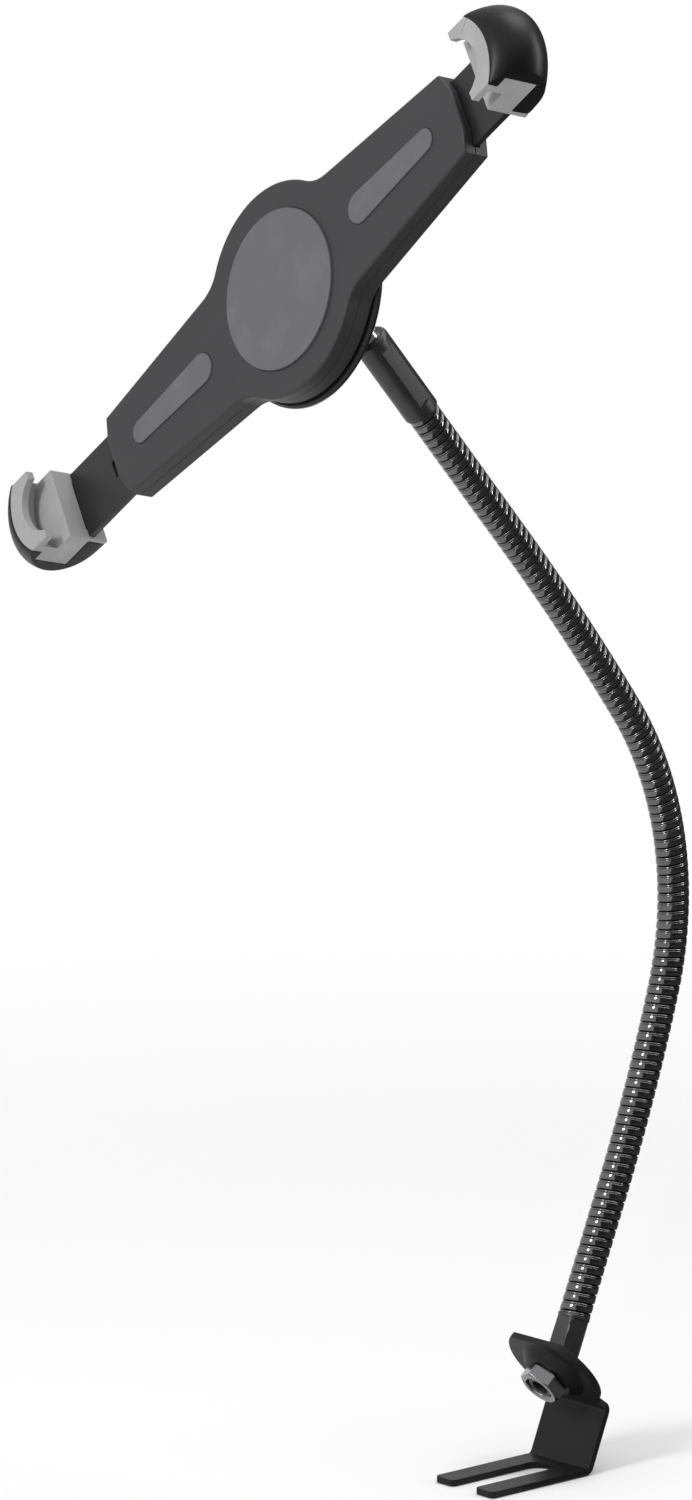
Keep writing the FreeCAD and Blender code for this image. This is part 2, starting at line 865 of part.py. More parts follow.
def locking_collar():
    """A fluted ring nut whose lip closes over the ball's seat."""
    radius = size("collar_radius")
    thread = size("socket_thread_radius") + size("thread_play")
    back = collar_front - size("collar_length")
    bevel = 1.0
    body = turned(
        [
            (thread, collar_front),
            (radius - bevel, collar_front),
            (radius, collar_front - bevel),
            (radius, back + bevel),
            (radius - bevel, back),
            (0, back),
            (0, ball_height),
            (thread, ball_height),
        ]
    )
    count = int(size("collar_flutes"))
    flute = size("collar_flute_radius")
    offset = radius + flute * 0.4
    flutes = []
    for i in range(count):
        angle = 2 * math.pi * i / count
        flutes.append(
            disc_solid(flute, back, collar_front, offset * math.cos(angle), offset * math.sin(angle))
        )
    return body.cut([Part.makeSphere(socket_hollow, ball_point), opening_cone()] + flutes)


solid_piece("ball_seat", ball_seat(), cradle_frame)
solid_piece("swivel_flange", swivel_flange(), cradle_frame)
solid_piece("friction_ring", friction_ring(), cradle_frame)
solid_piece("swivel_washer", swivel_washer(), cradle_frame)
solid_piece("swivel_screw", swivel_screw(), cradle_frame)
solid_piece("locking_collar", locking_collar(), cradle_frame)

# The housing, in two halves with one outline


def arm_corners():
    """The two tapering arms as one outline, from the lower right corner round.

    The corners at their roots lie just inside the hub's edge.
    """
    end = "Sizes.arm_end"
    flat = "Sizes.arm_end_flat_half"
    slant = "(Sizes.arm_end - Sizes.arm_end_slant)"
    half = "Sizes.arm_end_half"
    root = "(sqrt(Sizes.hub_radius ^ 2 - Sizes.arm_root_half ^ 2) - Sizes.arm_root)"
    root_half = "Sizes.arm_root_half"
    right = [(end, f"-{flat}"), (end, flat), (slant, half), (root, root_half)]
    left = [
        (f"-{root}", root_half),
        (f"-{slant}", half),
        (f"-{end}", flat),
        (f"-{end}", f"-{flat}"),
        (f"-{slant}", f"-{half}"),
        (f"-{root}", f"-{root_half}"),
    ]
    return right + left + [(root, f"-{root_half}"), (slant, f"-{half}")]


def upright_edge_at_hub(edge):
    if edge.Length < 1 or len(edge.Vertexes) < 2:
        return False
    low, high = edge.Vertexes[0].Point, edge.Vertexes[1].Point
    upright = abs(low.x - high.x) + abs(low.y - high.y) < 1e-6
    off_axis = abs(low.x) > 1 and abs(low.y) > 1
    return upright and off_axis and abs(math.hypot(low.x, low.y) - size("hub_radius")) < 1e-4


def housing_half(name, base, height, edge_height):
    """The hub and its arms as one plate, with filleted roots and one rounded edge."""
    body = new_body(name)
    hub = new_sketch(body, name + "_hub_outline", base)
    draw_circle(hub, "0", "0", "Sizes.hub_radius")
    raise_from(body, hub, name + "_hub", height)
    arms = new_sketch(body, name + "_arm_outline", base)
    draw_polygon(arms, arm_corners())
    arm_pad = raise_from(body, arms, name + "_arms", height)
    roots = fillet_edges(body, arm_pad, name + "_roots", "Sizes.arm_fillet", upright_edge_at_hub)
    fillet_edges(
        body,
        roots,
        name + "_edge",
        "Sizes.housing_edge",
        lambda edge: all(abs(vertex.Z - edge_height) < 1e-6 for vertex in edge.Vertexes)
        and abs(middle(edge).z - edge_height) < 1e-6,
    )
    return body


def draw_tapered_slot(sketch, shrink):
    """Two arcs joined by their tangents, drawn in by a size of the sheet."""
    near, far = size("arm_pad_near"), size("arm_pad_far")
    near_radius, far_radius = size("arm_pad_near_radius"), size("arm_pad_far_radius")
    taper = math.asin((near_radius - far_radius) / (far - near))
    quarter = math.pi / 2 - taper
    near_circle = Part.Circle(Vector(near, 0, 0), Z_AXIS, near_radius)
    far_circle = Part.Circle(Vector(far, 0, 0), Z_AXIS, far_radius)
    near_arc = sketch.addGeometry(Part.ArcOfCircle(near_circle, quarter, 2 * math.pi - quarter))
    far_arc = sketch.addGeometry(Part.ArcOfCircle(far_circle, -quarter, quarter))
    sine, cosine = math.sin(taper), math.cos(taper)
    near_top = Vector(near + near_radius * sine, near_radius * cosine, 0)
    far_top = Vector(far + far_radius * sine, far_radius * cosine, 0)
    near_bottom = Vector(near_top.x, -near_top.y, 0)
    far_bottom = Vector(far_top.x, -far_top.y, 0)
    top = sketch.addGeometry(Part.LineSegment(far_top, near_top))
    bottom = sketch.addGeometry(Part.LineSegment(near_bottom, far_bottom))
    for line, line_end, arc, arc_end in (
        (top, 2, near_arc, 1),
        (bottom, 1, near_arc, 2),
        (bottom, 2, far_arc, 1),
        (top, 1, far_arc, 2),
    ):
        sketch.addConstraint(Sketcher.Constraint("Tangent", line, line_end, arc, arc_end))
    for arc, place in ((near_arc, "near"), (far_arc, "far")):
        bind(sketch, "DistanceX", arc, 3, f"Sizes.arm_pad_{place}")
        bind(sketch, "DistanceY", arc, 3, "0")
        bind(sketch, "Radius", arc, 3, f"Sizes.arm_pad_{place}_radius - {shrink}")


def turn_over(sketch):
    """Turn a sketch half way round, so that it serves the other arm."""
    sketch.AttachmentOffset = Placement(sketch.AttachmentOffset.Base, Rotation(Z_AXIS, 180))


ARM_SCREWS = [
    (f"{sign}Sizes.arm_screw_{place}", "0") for sign in ("", "-") for place in ("near", "far")
]
HUB_SCREWS = [("0", f"{sign}Sizes.hub_screw_offset") for sign in ("", "-")]


def cut_circles(body, name, places, radius, height, depth, upward=False):
    sketch = new_sketch(body, name + "_outline", height)
    for x, y in places:
        draw_circle(sketch, x, y, radius)
    return sink_from(body, sketch, name, depth, upward)


def cut_box(body, name, corners, height, depth, upward=False):
    sketch = new_sketch(body, name + "_outline", height)
    draw_polygon(sketch, corners)
    return sink_from(body, sketch, name, depth, upward)


CHANNEL = box_corners(
    "-(Sizes.arm_end + 5)",
    "Sizes.arm_end + 5",
    "-(Sizes.slider_half + Sizes.slider_play)",
    "Sizes.slider_half + Sizes.slider_play",
)


def front_housing():
    body = housing_half("front_housing", SEAM, "Sizes.front_thickness", front_top)
    cut_circles(body, "hub_recess", [("0", "0")], "Sizes.hub_pad_radius", FRONT_TOP, "Sizes.pad_recess")
    for name, other_arm in (("upper_recess", False), ("lower_recess", True)):
        sketch = new_sketch(body, name + "_outline", FRONT_TOP)
        draw_tapered_slot(sketch, "0")
        if other_arm:
            turn_over(sketch)
        sink_from(body, sketch, name, "Sizes.pad_recess")
    roof = "Sizes.pad_rise + Sizes.front_thickness"
    roof += " - (Sizes.slider_back_depth - Sizes.slider_thickness - Sizes.slider_play)"
    cut_box(body, "front_channel", CHANNEL, SEAM, roof, upward=True)
    screw_depth = "Sizes.housing_screw_length - Sizes.rear_thickness + 0.3"
    cut_circles(
        body,
        "screw_holes",
        ARM_SCREWS + HUB_SCREWS,
        "Sizes.housing_screw_radius + Sizes.screw_play",
        SEAM,
        screw_depth,
        upward=True,
    )
    return keep(body, "front_housing", cradle_frame)


def spring_channel(sign):
    """The trough for one spring, on the side that the sign says."""
    half = "Sizes.spring_channel_half"
    ends = ["Sizes.spring_anchor - 3.5", "Sizes.spring_tab + Sizes.slide_out + 3.5"]
    sides = [f"Sizes.spring_offset - {half}", f"Sizes.spring_offset + {half}"]
    if sign < 0:
        ends = [f"-({end})" for end in ends]
        sides = [f"-({side})" for side in sides]
    return box_corners(ends[0], ends[1], sides[0], sides[1])


def rear_housing():
    body = housing_half("rear_housing", REAR_BACK, "Sizes.rear_thickness", rear_back)
    depth = "-(Sizes.pad_rise + Sizes.front_thickness) + Sizes.slider_back_depth + Sizes.slider_play"
    cut_box(body, "rear_channel", CHANNEL, SEAM, depth)
    bosses = new_sketch(body, "boss_outline", CHANNEL_FLOOR)
    for x, y in ARM_SCREWS:
        draw_circle(bosses, x, y, "Sizes.screw_boss_radius")
    raise_from(body, bosses, "bosses", "Sizes.slider_thickness + 2 * Sizes.slider_play")
    trough_depth = "Sizes.spring_channel_floor - Sizes.slider_back_depth - Sizes.slider_play"
    for name, sign in (("upper_trough", 1), ("lower_trough", -1)):
        cut_box(body, name, spring_channel(sign), CHANNEL_FLOOR, trough_depth)
    posts = new_sketch(body, "post_outline", "-Sizes.spring_channel_floor")
    draw_circle(posts, "Sizes.spring_anchor", "Sizes.spring_offset", "Sizes.spring_post_radius")
    draw_circle(posts, "-Sizes.spring_anchor", "-Sizes.spring_offset", "Sizes.spring_post_radius")
    raise_from(body, posts, "posts", trough_depth)
    cut_circles(
        body,
        "counterbore",
        [("0", "0")],
        "Sizes.swivel_washer_radius + 0.3",
        CHANNEL_FLOOR,
        "Sizes.swivel_washer_thickness + 0.8",
    )
    cut_circles(
        body,
        "spigot_hole",
        [("0", "0")],
        "Sizes.spigot_radius + Sizes.spigot_play",
        CHANNEL_FLOOR,
        "Sizes.rear_thickness",
    )
    screw_places = ARM_SCREWS + HUB_SCREWS
    cut_circles(
        body,
        "screw_ways",
        screw_places,
        "Sizes.housing_screw_radius + Sizes.screw_play",
        REAR_BACK,
        "Sizes.rear_thickness + Sizes.front_thickness",
        upward=True,
    )
    cut_circles(
        body,
        "head_wells",
        screw_places,
        "Sizes.housing_screw_head + Sizes.screw_play",
        REAR_BACK,
        "Sizes.housing_screw_head_height",
        upward=True,
    )
    return keep(body, "rear_housing", cradle_frame)


def hub_pad():
    body = new_body("hub_pad")
    sketch = new_sketch(body, "hub_pad_outline", "-Sizes.hub_pad_thickness")
    draw_circle(sketch, "0", "0", "Sizes.hub_pad_radius - Sizes.pad_play")
    raise_from(body, sketch, "hub_pad_sheet", "Sizes.hub_pad_thickness")
    return keep(body, "hub_pad", cradle_frame)


def arm_pad(name, frame):
    body = new_body(name)
    sketch = new_sketch(body, name + "_outline", "-(Sizes.pad_rise + Sizes.pad_recess)")
    draw_tapered_slot(sketch, "Sizes.pad_play")
    raise_from(body, sketch, name + "_sheet", "Sizes.arm_pad_thickness")
    return keep(body, name, frame)


def pan_screw(radius, head, head_height, length, x, y, back):
    """A screw driven from behind, its cross recess in the back of its head."""
    screw = disc_solid(radius, back, back + length, x, y)
    screw = screw.fuse(disc_solid(head, back, back + head_height, x, y))
    cross_depth = head_height * 0.5
    for reach_x, reach_y in ((head * 0.55, head * 0.16), (head * 0.16, head * 0.55)):
        low = Vector(x - reach_x, y - reach_y, back)
        screw = screw.cut(box_solid(low, Vector(x + reach_x, y + reach_y, back + cross_depth)))
    return screw


def housing_screws():
    near, far = size("arm_screw_near"), size("arm_screw_far")
    offset = size("hub_screw_offset")
    places = [(near, 0), (far, 0), (-near, 0), (-far, 0), (0, offset), (0, -offset)]
    return Part.makeCompound(
        [
            pan_screw(
                size("housing_screw_radius"),
                size("housing_screw_head"),
                size("housing_screw_head_height"),
                size("housing_screw_length"),
                x,
                y,
                rear_back,
            )
            for x, y in places
        ]
    )


front_housing()
rear_housing()
hub_pad()
arm_pad("upper_arm_pad", cradle_frame)
arm_pad("lower_arm_pad", lower_frame)
solid_piece("housing_screws", housing_screws(), cradle_frame)

# The sliding arms, their springs and the jaws


def slider_corners():
    """A wide arm with a narrower tongue that goes into the jaw."""
    start, step, end = "Sizes.slider_start", along_expression("slider_step"), along_expression("slider_end")
    half, tongue = "Sizes.slider_half", "Sizes.slider_tongue_half"
    return [
        (start, f"-{half}"),
        (step, f"-{half}"),
        (step, f"-{tongue}"),
        (end, f"-{tongue}"),
        (end, tongue),
        (step, tongue),
        (step, half),
        (start, half),
    ]


def slider(name, frame):
    """A flat arm with a guide slot, a spring post behind and two holes for its jaw."""
    body = new_body(name)
    outline = new_sketch(body, name + "_outline", SLIDER_BACK)
    draw_polygon(outline, slider_corners())
    raise_from(body, outline, name + "_plate", "Sizes.slider_thickness")
    slot = box_corners(
        "Sizes.slider_slot_start",
        "Sizes.slider_slot_end",
        "-Sizes.slider_slot_half",
        "Sizes.slider_slot_half",
    )
    cut_box(body, name + "_slot", slot, SLIDER_BACK, "Sizes.slider_thickness", upward=True)
    reach = along_expression("jaw_screw_reach")
    holes = [(reach, f"{sign}Sizes.jaw_screw_offset") for sign in ("", "-")]
    cut_circles(
        body,
        name + "_holes",
        holes,
        "Sizes.housing_screw_radius + Sizes.screw_play",
        SLIDER_BACK,
        "Sizes.slider_thickness",
        upward=True,
    )
    post = new_sketch(body, name + "_post_outline", "-(Sizes.spring_channel_floor - 0.3)")
    draw_circle(post, "Sizes.spring_tab", "Sizes.spring_offset", "Sizes.spring_post_radius")
    raise_from(body, post, name + "_post", "Sizes.spring_channel_floor - 0.3 - Sizes.slider_back_depth")
    return keep(body, name, frame)


def spring(stretch):
    """An extension spring's outer shape: a hollow barrel with an eye at each end."""
    height = (channel_floor - size("spring_channel_floor")) / 2
    anchor, tab = size("spring_anchor"), size("spring_tab") + stretch
    offset = size("spring_offset")
    eye = size("spring_post_radius") + 0.05
    eye_outer = eye + size("spring_eye_wall")
    half = size("spring_eye_height") / 2
    reach = tab - anchor - 2 * eye - size("spring_eye_wall")
    start = Vector(anchor + eye + size("spring_eye_wall") / 2, offset, height)
    barrel = Part.makeCylinder(size("spring_radius"), reach, start, X_AXIS)
    barrel = barrel.cut(
        Part.makeCylinder(size("spring_radius") - size("spring_wire"), reach, start, X_AXIS)
    )
    eyes = [disc_solid(eye_outer, height - half, height + half, x, offset) for x in (anchor, tab)]
    holes = [disc_solid(eye, height - 3, height + 3, x, offset) for x in (anchor, tab)]
    return barrel.multiFuse(eyes).cut(holes)


jaw_back = -size("jaw_back")
jaw_ledge = size("jaw_seat")
lip_back = jaw_ledge + size("jaw_grip")
jaw_front = lip_back + size("jaw_lip")
liner_floor = jaw_ledge - size("liner_depth")
shell_inner = size("jaw_inner") + size("jaw_band")
inside_jaw = size("jaw_inner") - size("jaw_tip")

# The heights of the outlines that the shell is lofted through, as shares of its
# depth behind the pads and of its height in front of them.
SHELL_SHARES = (-1.0, -0.95, -0.84, -0.65, -0.35, 0.0, 0.35, 0.65, 0.84, 0.95, 1.0)


def jaw_outline(share):
    """A closed outline across the shell, with a round outer side, at one height."""
    depth = abs(share)
    if share < 0:
        height, edge_tip, power, draw_in = share * size("jaw_back"), along("jaw_back_tip"), 0.5, 1.0
    else:
        height, edge_tip, power, draw_in = share * jaw_front, along("jaw_rim_tip"), 0.75, 0.1
    half = size("jaw_half") - draw_in * depth**6
    tip = edge_tip + (along("jaw_tip") - edge_tip) * (1 - depth**2) ** power
    radius = size("jaw_round")
    side = tip - radius + math.sqrt(radius**2 - half**2)
    low_in, low_out = Vector(shell_inner, -half, height), Vector(side, -half, height)
    high_in, high_out = Vector(shell_inner, half, height), Vector(side, half, height)
    arc = Part.Arc(low_out, Vector(tip, 0, height), high_out).toShape()
    return Part.Wire(
        [
            Part.makeLine(high_in, low_in),
            Part.makeLine(low_in, low_out),
            arc,
            Part.makeLine(high_out, high_in),
        ]
    )


def rounded_reach(tip, radius, low, high, half):
    """A slab that reaches from inside the jaw out to a round end."""
    disc = disc_solid(radius, low, high, tip - radius, 0)
    strip = box_solid(Vector(inside_jaw, -radius, low), Vector(tip - radius, radius, high))
    limit = box_solid(Vector(inside_jaw, -half, low), Vector(tip, half, high))
    return disc.fuse(strip).common(limit)


def liner_form(half):
    """The rubber's outer form: a tall side wall with a drawn in lip, over the tongue's boss."""
    radius = size("liner_radius")
    step = lip_back - size("liner_step")
    wall = rounded_reach(along("liner_tip"), radius, liner_floor, step, half)
    lip = rounded_reach(along("lip_tip"), radius, step, jaw_front, half)
    boss_half = size("tongue_boss_half")
    boss = box_solid(
        Vector(shell_inner, -boss_half, liner_floor),
        Vector(
            along("tongue_boss_end"),
            boss_half,
            slider_back + size("slider_thickness") + size("tongue_boss_roof"),
        ),
    )
    return wall.fuse(lip).cut(boss)


def tongue_way():
    """The slot in a jaw for its slider's tongue."""
    play = size("thread_play")
    half = size("slider_tongue_half") + play
    low = Vector(size("jaw_inner") - 1, -half, slider_back - play)
    high = Vector(along("slider_end") + play, half, slider_back + size("slider_thickness") + play)
    return box_solid(low, high)


def jaw_screw_places():
    return [(along("jaw_screw_reach"), sign * size("jaw_screw_offset")) for sign in (1, -1)]


def jaw_shell():
    """The hard outer cap that wraps the tablet's corner."""
    block = Part.makeLoft([jaw_outline(share) for share in SHELL_SHARES], True, False)
    cuts = [liner_form(2 * size("jaw_half")), tongue_way()]
    shank = size("housing_screw_radius") + size("screw_play")
    well = size("jaw_screw_head") + size("screw_play")
    shank_end = jaw_back + size("jaw_screw_length") + 0.3
    well_end = jaw_back + size("housing_screw_head_height")
    for x, y in jaw_screw_places():
        cuts.append(disc_solid(shank, jaw_back - 1, shank_end, x, y))
        cuts.append(disc_solid(well, jaw_back - 1, well_end, x, y))
    return block.cut(cuts)


def jaw_liner():
    """The rubber inside the cap: floor, round wall, front lip and the band at the inner end."""
    half = size("liner_half")
    inner = size("jaw_inner")
    form = liner_form(half)
    trim = box_solid(Vector(inside_jaw, -2 * half, liner_floor), Vector(inner, 2 * half, jaw_front))
    lip_trim = box_solid(
        Vector(inside_jaw, -2 * half, lip_back), Vector(along("lip_start"), 2 * half, jaw_front)
    )
    pocket = rounded_reach(
        along("pocket_tip"), size("pocket_radius"), jaw_ledge, lip_back, 2 * half
    )
    opening = rounded_reach(
        along("lip_opening_tip"), size("lip_opening_radius"), lip_back, jaw_front, 2 * half
    )
    band = box_solid(Vector(inner, -half, jaw_back + 0.4), Vector(shell_inner, half, liner_floor))
    return form.cut([trim, lip_trim, pocket, opening]).fuse(band).cut(tongue_way())


def jaw_screws():
    return Part.makeCompound(
        [
            pan_screw(
                size("housing_screw_radius"),
                size("jaw_screw_head"),
                size("housing_screw_head_height"),
                size("jaw_screw_length"),
                x,
                y,
                jaw_back,
            )
            for x, y in jaw_screw_places()
        ]
    )


for side, frame in (("upper", cradle_frame), ("lower", lower_frame)):
    rest = size(f"{side}_jaw_rest")
    slide_frame = frame * Placement(Vector(rest, 0, 0), Rotation())
    slider(f"{side}_slider", slide_frame)
    solid_piece(f"{side}_spring", spring(rest), frame)
    solid_piece(f"{side}_jaw_shell", jaw_shell(), slide_frame)
    solid_piece(f"{side}_jaw_liner", jaw_liner(), slide_frame)
    solid_piece(f"{side}_jaw_screws", jaw_screws(), slide_frame)

doc.recompute()
for item in doc.Objects:
    if "Invalid" in item.State or "Error" in item.State:
        raise RuntimeError(f"{item.Label} failed: {item.State}")
os.makedirs("parts", exist_ok=True)
for piece in parts:
    shape = piece.Shape
    if shape.isNull() or not shape.isValid() or not shape.Solids:
        raise RuntimeError(f"{piece.Label} has no valid solid")
    shape.exportStep(f"parts/{piece.Label}.step")
    print(f"{piece.Label}: {len(shape.Solids)} solid, {shape.Volume:.1f} mm3")
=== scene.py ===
"""Looks of the car seat rail tablet mount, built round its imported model, in metres."""

import json
import math

import bpy
from mathutils import Matrix, Vector


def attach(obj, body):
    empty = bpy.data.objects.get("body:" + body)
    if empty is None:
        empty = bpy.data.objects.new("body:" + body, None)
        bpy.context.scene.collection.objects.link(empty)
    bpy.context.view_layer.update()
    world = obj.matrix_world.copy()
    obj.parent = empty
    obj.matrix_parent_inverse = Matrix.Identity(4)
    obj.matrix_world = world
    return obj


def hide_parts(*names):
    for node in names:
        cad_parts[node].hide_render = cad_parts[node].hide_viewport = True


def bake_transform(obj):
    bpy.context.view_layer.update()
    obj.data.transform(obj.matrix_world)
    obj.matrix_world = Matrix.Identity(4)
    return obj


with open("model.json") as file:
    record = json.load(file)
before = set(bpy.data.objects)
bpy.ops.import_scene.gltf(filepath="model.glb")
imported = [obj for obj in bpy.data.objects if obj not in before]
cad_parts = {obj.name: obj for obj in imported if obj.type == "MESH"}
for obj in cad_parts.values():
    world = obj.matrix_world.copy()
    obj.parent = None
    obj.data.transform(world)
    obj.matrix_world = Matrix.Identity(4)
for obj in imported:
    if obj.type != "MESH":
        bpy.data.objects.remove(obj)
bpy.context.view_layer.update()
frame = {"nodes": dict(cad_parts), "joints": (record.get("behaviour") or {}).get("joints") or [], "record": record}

bl_info = {
    "name": "Seat Rail Tablet Mount",
    "version": (1, 0, 0),
    "blender": (4, 5, 0),
    "location": "View3D > Sidebar > Mount",
    "description": "Gooseneck, springs, softened edges and finishes for a seat rail tablet mount",
    "category": "Object",
}

MM = 0.001

# The gooseneck's line in the plane X = 0. It leaves the lower sleeve at NECK_FOOT,
# leans back by NECK_LEAN degrees, and then runs and bends forward in these steps:
# a straight step gives its length, a bend its radius and its angle.
NECK_FOOT = (0.0, 21.7364 * MM, 68.349 * MM)
NECK_LEAN = 23.0
NECK_STEPS = (
    (54.6 * MM, 0.0),
    (812.0 * MM, 6.8),
    (146.8 * MM, 53.4),
    (1219.0 * MM, 4.95),
    (82.7 * MM, 0.0),
)
NECK_BODIES = ("neck_base", "neck_second", "neck_third", "neck_fourth", "neck_top")

# One turn of the strip across its pitch: a deep groove, a wide band, and a narrow bead
# behind a shallow line. Each point has its share of the pitch, and its rise to the crown.
BAND = (
    (0.0, 0.0),
    (0.05, 0.0),
    (0.07, 0.5),
    (0.11, 0.84),
    (0.17, 0.96),
    (0.45, 1.0),
    (0.69, 0.97),
    (0.73, 0.9),
    (0.76, 0.6),
    (0.79, 0.87),
    (0.85, 0.94),
    (0.91, 0.87),
    (0.96, 0.5),
    (1.0, 0.0),
)

# The strip's groove mark, which paints shade into the groove and makes it rougher, starts a quarter of the way
# down, and is full at two thirds.
GROOVE_SHADE_SLOPE = 2.4
GROOVE_SHADE_START = 0.6
NECK_TUCK = 0.3 * MM  # how far the strip reaches into each sleeve

# Where each spring sits in the cradle's own frame: X along the arms, Z out of the pads.
SPRING_OFFSET = 14.0 * MM
SPRING_HEIGHT = -11.25 * MM
SPRING_ANCHOR = -24.0 * MM
SPRING_TAB = {"upper": 43.0 * MM, "lower": 56.0 * MM}
SPRING_EYE = 1.55 * MM  # radius of an eye, to the middle of its wire
SPRING_SHORT = 1.6  # how far the coil ends before an eye's middle, in radii of the coil
WIRE_SIDES = 8
COIL_STEPS = 12
EYE_STEPS = 24

# The nodes that are shown as copies with rounded edges: how wide the edges are, and the
# angle in degrees from which an edge counts as one.
EDGES = {
    "seat_rail_bracket": (0.35 * MM, 40.0),
    "lower_ferrule": (0.25 * MM, 40.0),
    "hex_nut": (0.18 * MM, 40.0),
    "upper_ferrule": (0.25 * MM, 40.0),
    "locking_collar": (0.12 * MM, 25.0),
    "front_housing": (0.4 * MM, 40.0),
    "rear_housing": (0.3 * MM, 40.0),
    "hub_pad": (0.3 * MM, 40.0),
    "upper_arm_pad": (0.3 * MM, 40.0),
    "lower_arm_pad": (0.3 * MM, 40.0),
    "upper_slider": (0.35 * MM, 40.0),
    "lower_slider": (0.35 * MM, 40.0),
    "upper_jaw_shell": (0.1 * MM, 40.0),
    "lower_jaw_shell": (0.1 * MM, 40.0),
    "upper_jaw_liner": (0.4 * MM, 40.0),
    "lower_jaw_liner": (0.4 * MM, 40.0),
}

# Points closer than this are joined: the seams of what is wound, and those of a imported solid.
SEAM = 0.001 * MM
SOLID_SEAM = 0.002 * MM
FLAT_ANGLE = 0.03  # faces of a solid that turn by less than this, in degrees, are one face

# Edges that turn by more than this, in degrees, stay sharp.
STRIP_SHARP = 50.0
SPRING_SHARP = 60.0

# The photograph's view, fitted to the part.
CAMERA_PLACE = (2.1395, -2.0030, 0.8088)
CAMERA_RIGHT = (0.6618, 0.7496, 0.0)
CAMERA_UP = (-0.1218, 0.1075, 0.9867)
CAMERA_LENS = 162.65
CAMERA_SENSOR = 36.0
CAMERA_CLIP = (0.05, 60.0)

# The floor: its size, how far it lies below the plate, the share of white that it gives off
# itself where it is seen, and the distances between which it fades to white.
FLOOR_SIZE = 30.0
FLOOR_DROP = 0.2 * MM
FLOOR_GLOW = 0.06
FLOOR_FADE = (0.35, 1.3)

# The world's strength as a light, and what is added to it where it is seen.
AIR_LIGHT = 0.58
AIR_SEEN = 0.42

# Each lamp: name, place, width and height, power in watts, and if it only shows as a glint.
LAMP_AIM = (0.0, -0.05, 0.33)
LAMPS = (
    ("key_lamp", (0.14, -2.3, 1.5), (0.6, 0.9), 34.0, False),
    ("top_lamp", (0.2, 0.4, 2.3), (1.2, 1.2), 17.0, False),
    ("right_strip", (0.56, 0.46, 0.75), (0.1, 0.9), 4.0, True),
)

# The dark boards to the right of the camera: half their size, how far off they stand, the
# angle in degrees from +X at which they stand, and their paint.
CORNER_HALF = (0.9, 1.8, 1.0)
CORNER_REACH = 0.9
CORNER_TURN = 40.0
CORNER_PAINT = (0.09, 0.13)


def length(name, default, description):
    return bpy.props.FloatProperty(
        name=name,
        default=default,
        description=description,
        min=0.0,
        precision=5,
        unit="LENGTH",
        subtype="DISTANCE",
    )


def colour(name, default, description):
    return bpy.props.FloatVectorProperty(
        name=name,
        default=default,
        description=description,
        min=0.0,
        max=1.0,
        size=3,
        subtype="COLOR",
    )


class MountSizes(bpy.types.PropertyGroup):
    """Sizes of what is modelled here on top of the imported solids."""

    neck_radius: length("Gooseneck Radius", 7.2 * MM, "From the line to the strip's crown")
    groove_depth: length("Groove Depth", 0.9 * MM, "From the strip's crown to the groove")
    neck_turns: bpy.props.IntProperty(
        name="Turns per Length",
        default=22,
        min=2,
        description="Turns of the strip between the middles of two lengths, an even number",
    )
    neck_facets: bpy.props.IntProperty(
        name="Steps per Turn",
        default=40,
        min=12,
        description="How many steps the strip takes round the gooseneck",
    )
    spring_radius: length("Spring Radius", 1.4 * MM, "To the middle of the spring's wire")
    spring_wire: length("Spring Wire", 0.6 * MM, "Thickness of the spring's wire")
    spring_turns: bpy.props.IntProperty(
        name="Spring Turns",
        default=60,
        min=10,
        description="Turns of wire between the spring's two eyes",
    )


class MountColours(bpy.types.PropertyGroup):
    """Colours of the finishes, as plain paint values."""

    plate_coat: colour("Plate Coat", (0.0085, 0.0085, 0.009), "Powder coat of the bent plate")
    zinc: colour("Zinc", (0.21, 0.21, 0.215), "Bright plating of the nut and washers")
    neck: colour("Gooseneck", (0.13, 0.13, 0.133), "Black plating of the gooseneck's strip")
    sleeve: colour("Sleeves", (0.05, 0.05, 0.052), "Dark plating of the sleeves")
    ball: colour("Ball Steel", (0.6, 0.6, 0.62), "Turned steel of the ball and its neck")
    nylon: colour("Nylon", (0.5, 0.49, 0.46), "Bearing shell and friction ring")
    flange: colour("Swivel Plate", (0.01, 0.01, 0.0105), "Polished plastic behind the hub")
    collar: colour("Locking Collar", (0.026, 0.026, 0.028), "Grained plastic of the ring nut")
    housing: colour("Housing", (0.028, 0.028, 0.03), "Grained plastic of the hub and arms")
    slider: colour("Sliding Arm", (0.012, 0.012, 0.013), "Smooth plastic of the sliding arms")
    jaw: colour("Jaw Cap", (0.005, 0.005, 0.0055), "Satin plastic of the jaw caps")
    grip: colour("Grip Rubber", (0.33, 0.33, 0.335), "Soft rubber inside the jaws")
    pad: colour("Pad Rubber", (0.12, 0.12, 0.125), "Rubber of the pads behind the tablet")
    spring: colour("Spring Wire", (0.5, 0.5, 0.5), "Oiled spring steel")
    screw: colour("Screws", (0.05, 0.05, 0.05), "Blackened screws")
    floor: colour("Floor", (0.86, 0.86, 0.86), "Floor under the mount")


# Materials


class Signal:
    """A shader socket that can stand in a sum."""

    def __init__(self, finish, socket):
        self.finish = finish
        self.socket = socket

    def reckon(self, operation, first, second):
        return self.finish.add("ShaderNodeMath", {"operation": operation}, {0: first, 1: second})

    def __add__(self, other):
        return self.reckon("ADD", self, other)

    def __radd__(self, other):
        return self.reckon("ADD", other, self)

    def __sub__(self, other):
        return self.reckon("SUBTRACT", self, other)

    def __mul__(self, other):
        return self.reckon("MULTIPLY", self, other)

    def __rmul__(self, other):
        return self.reckon("MULTIPLY", other, self)


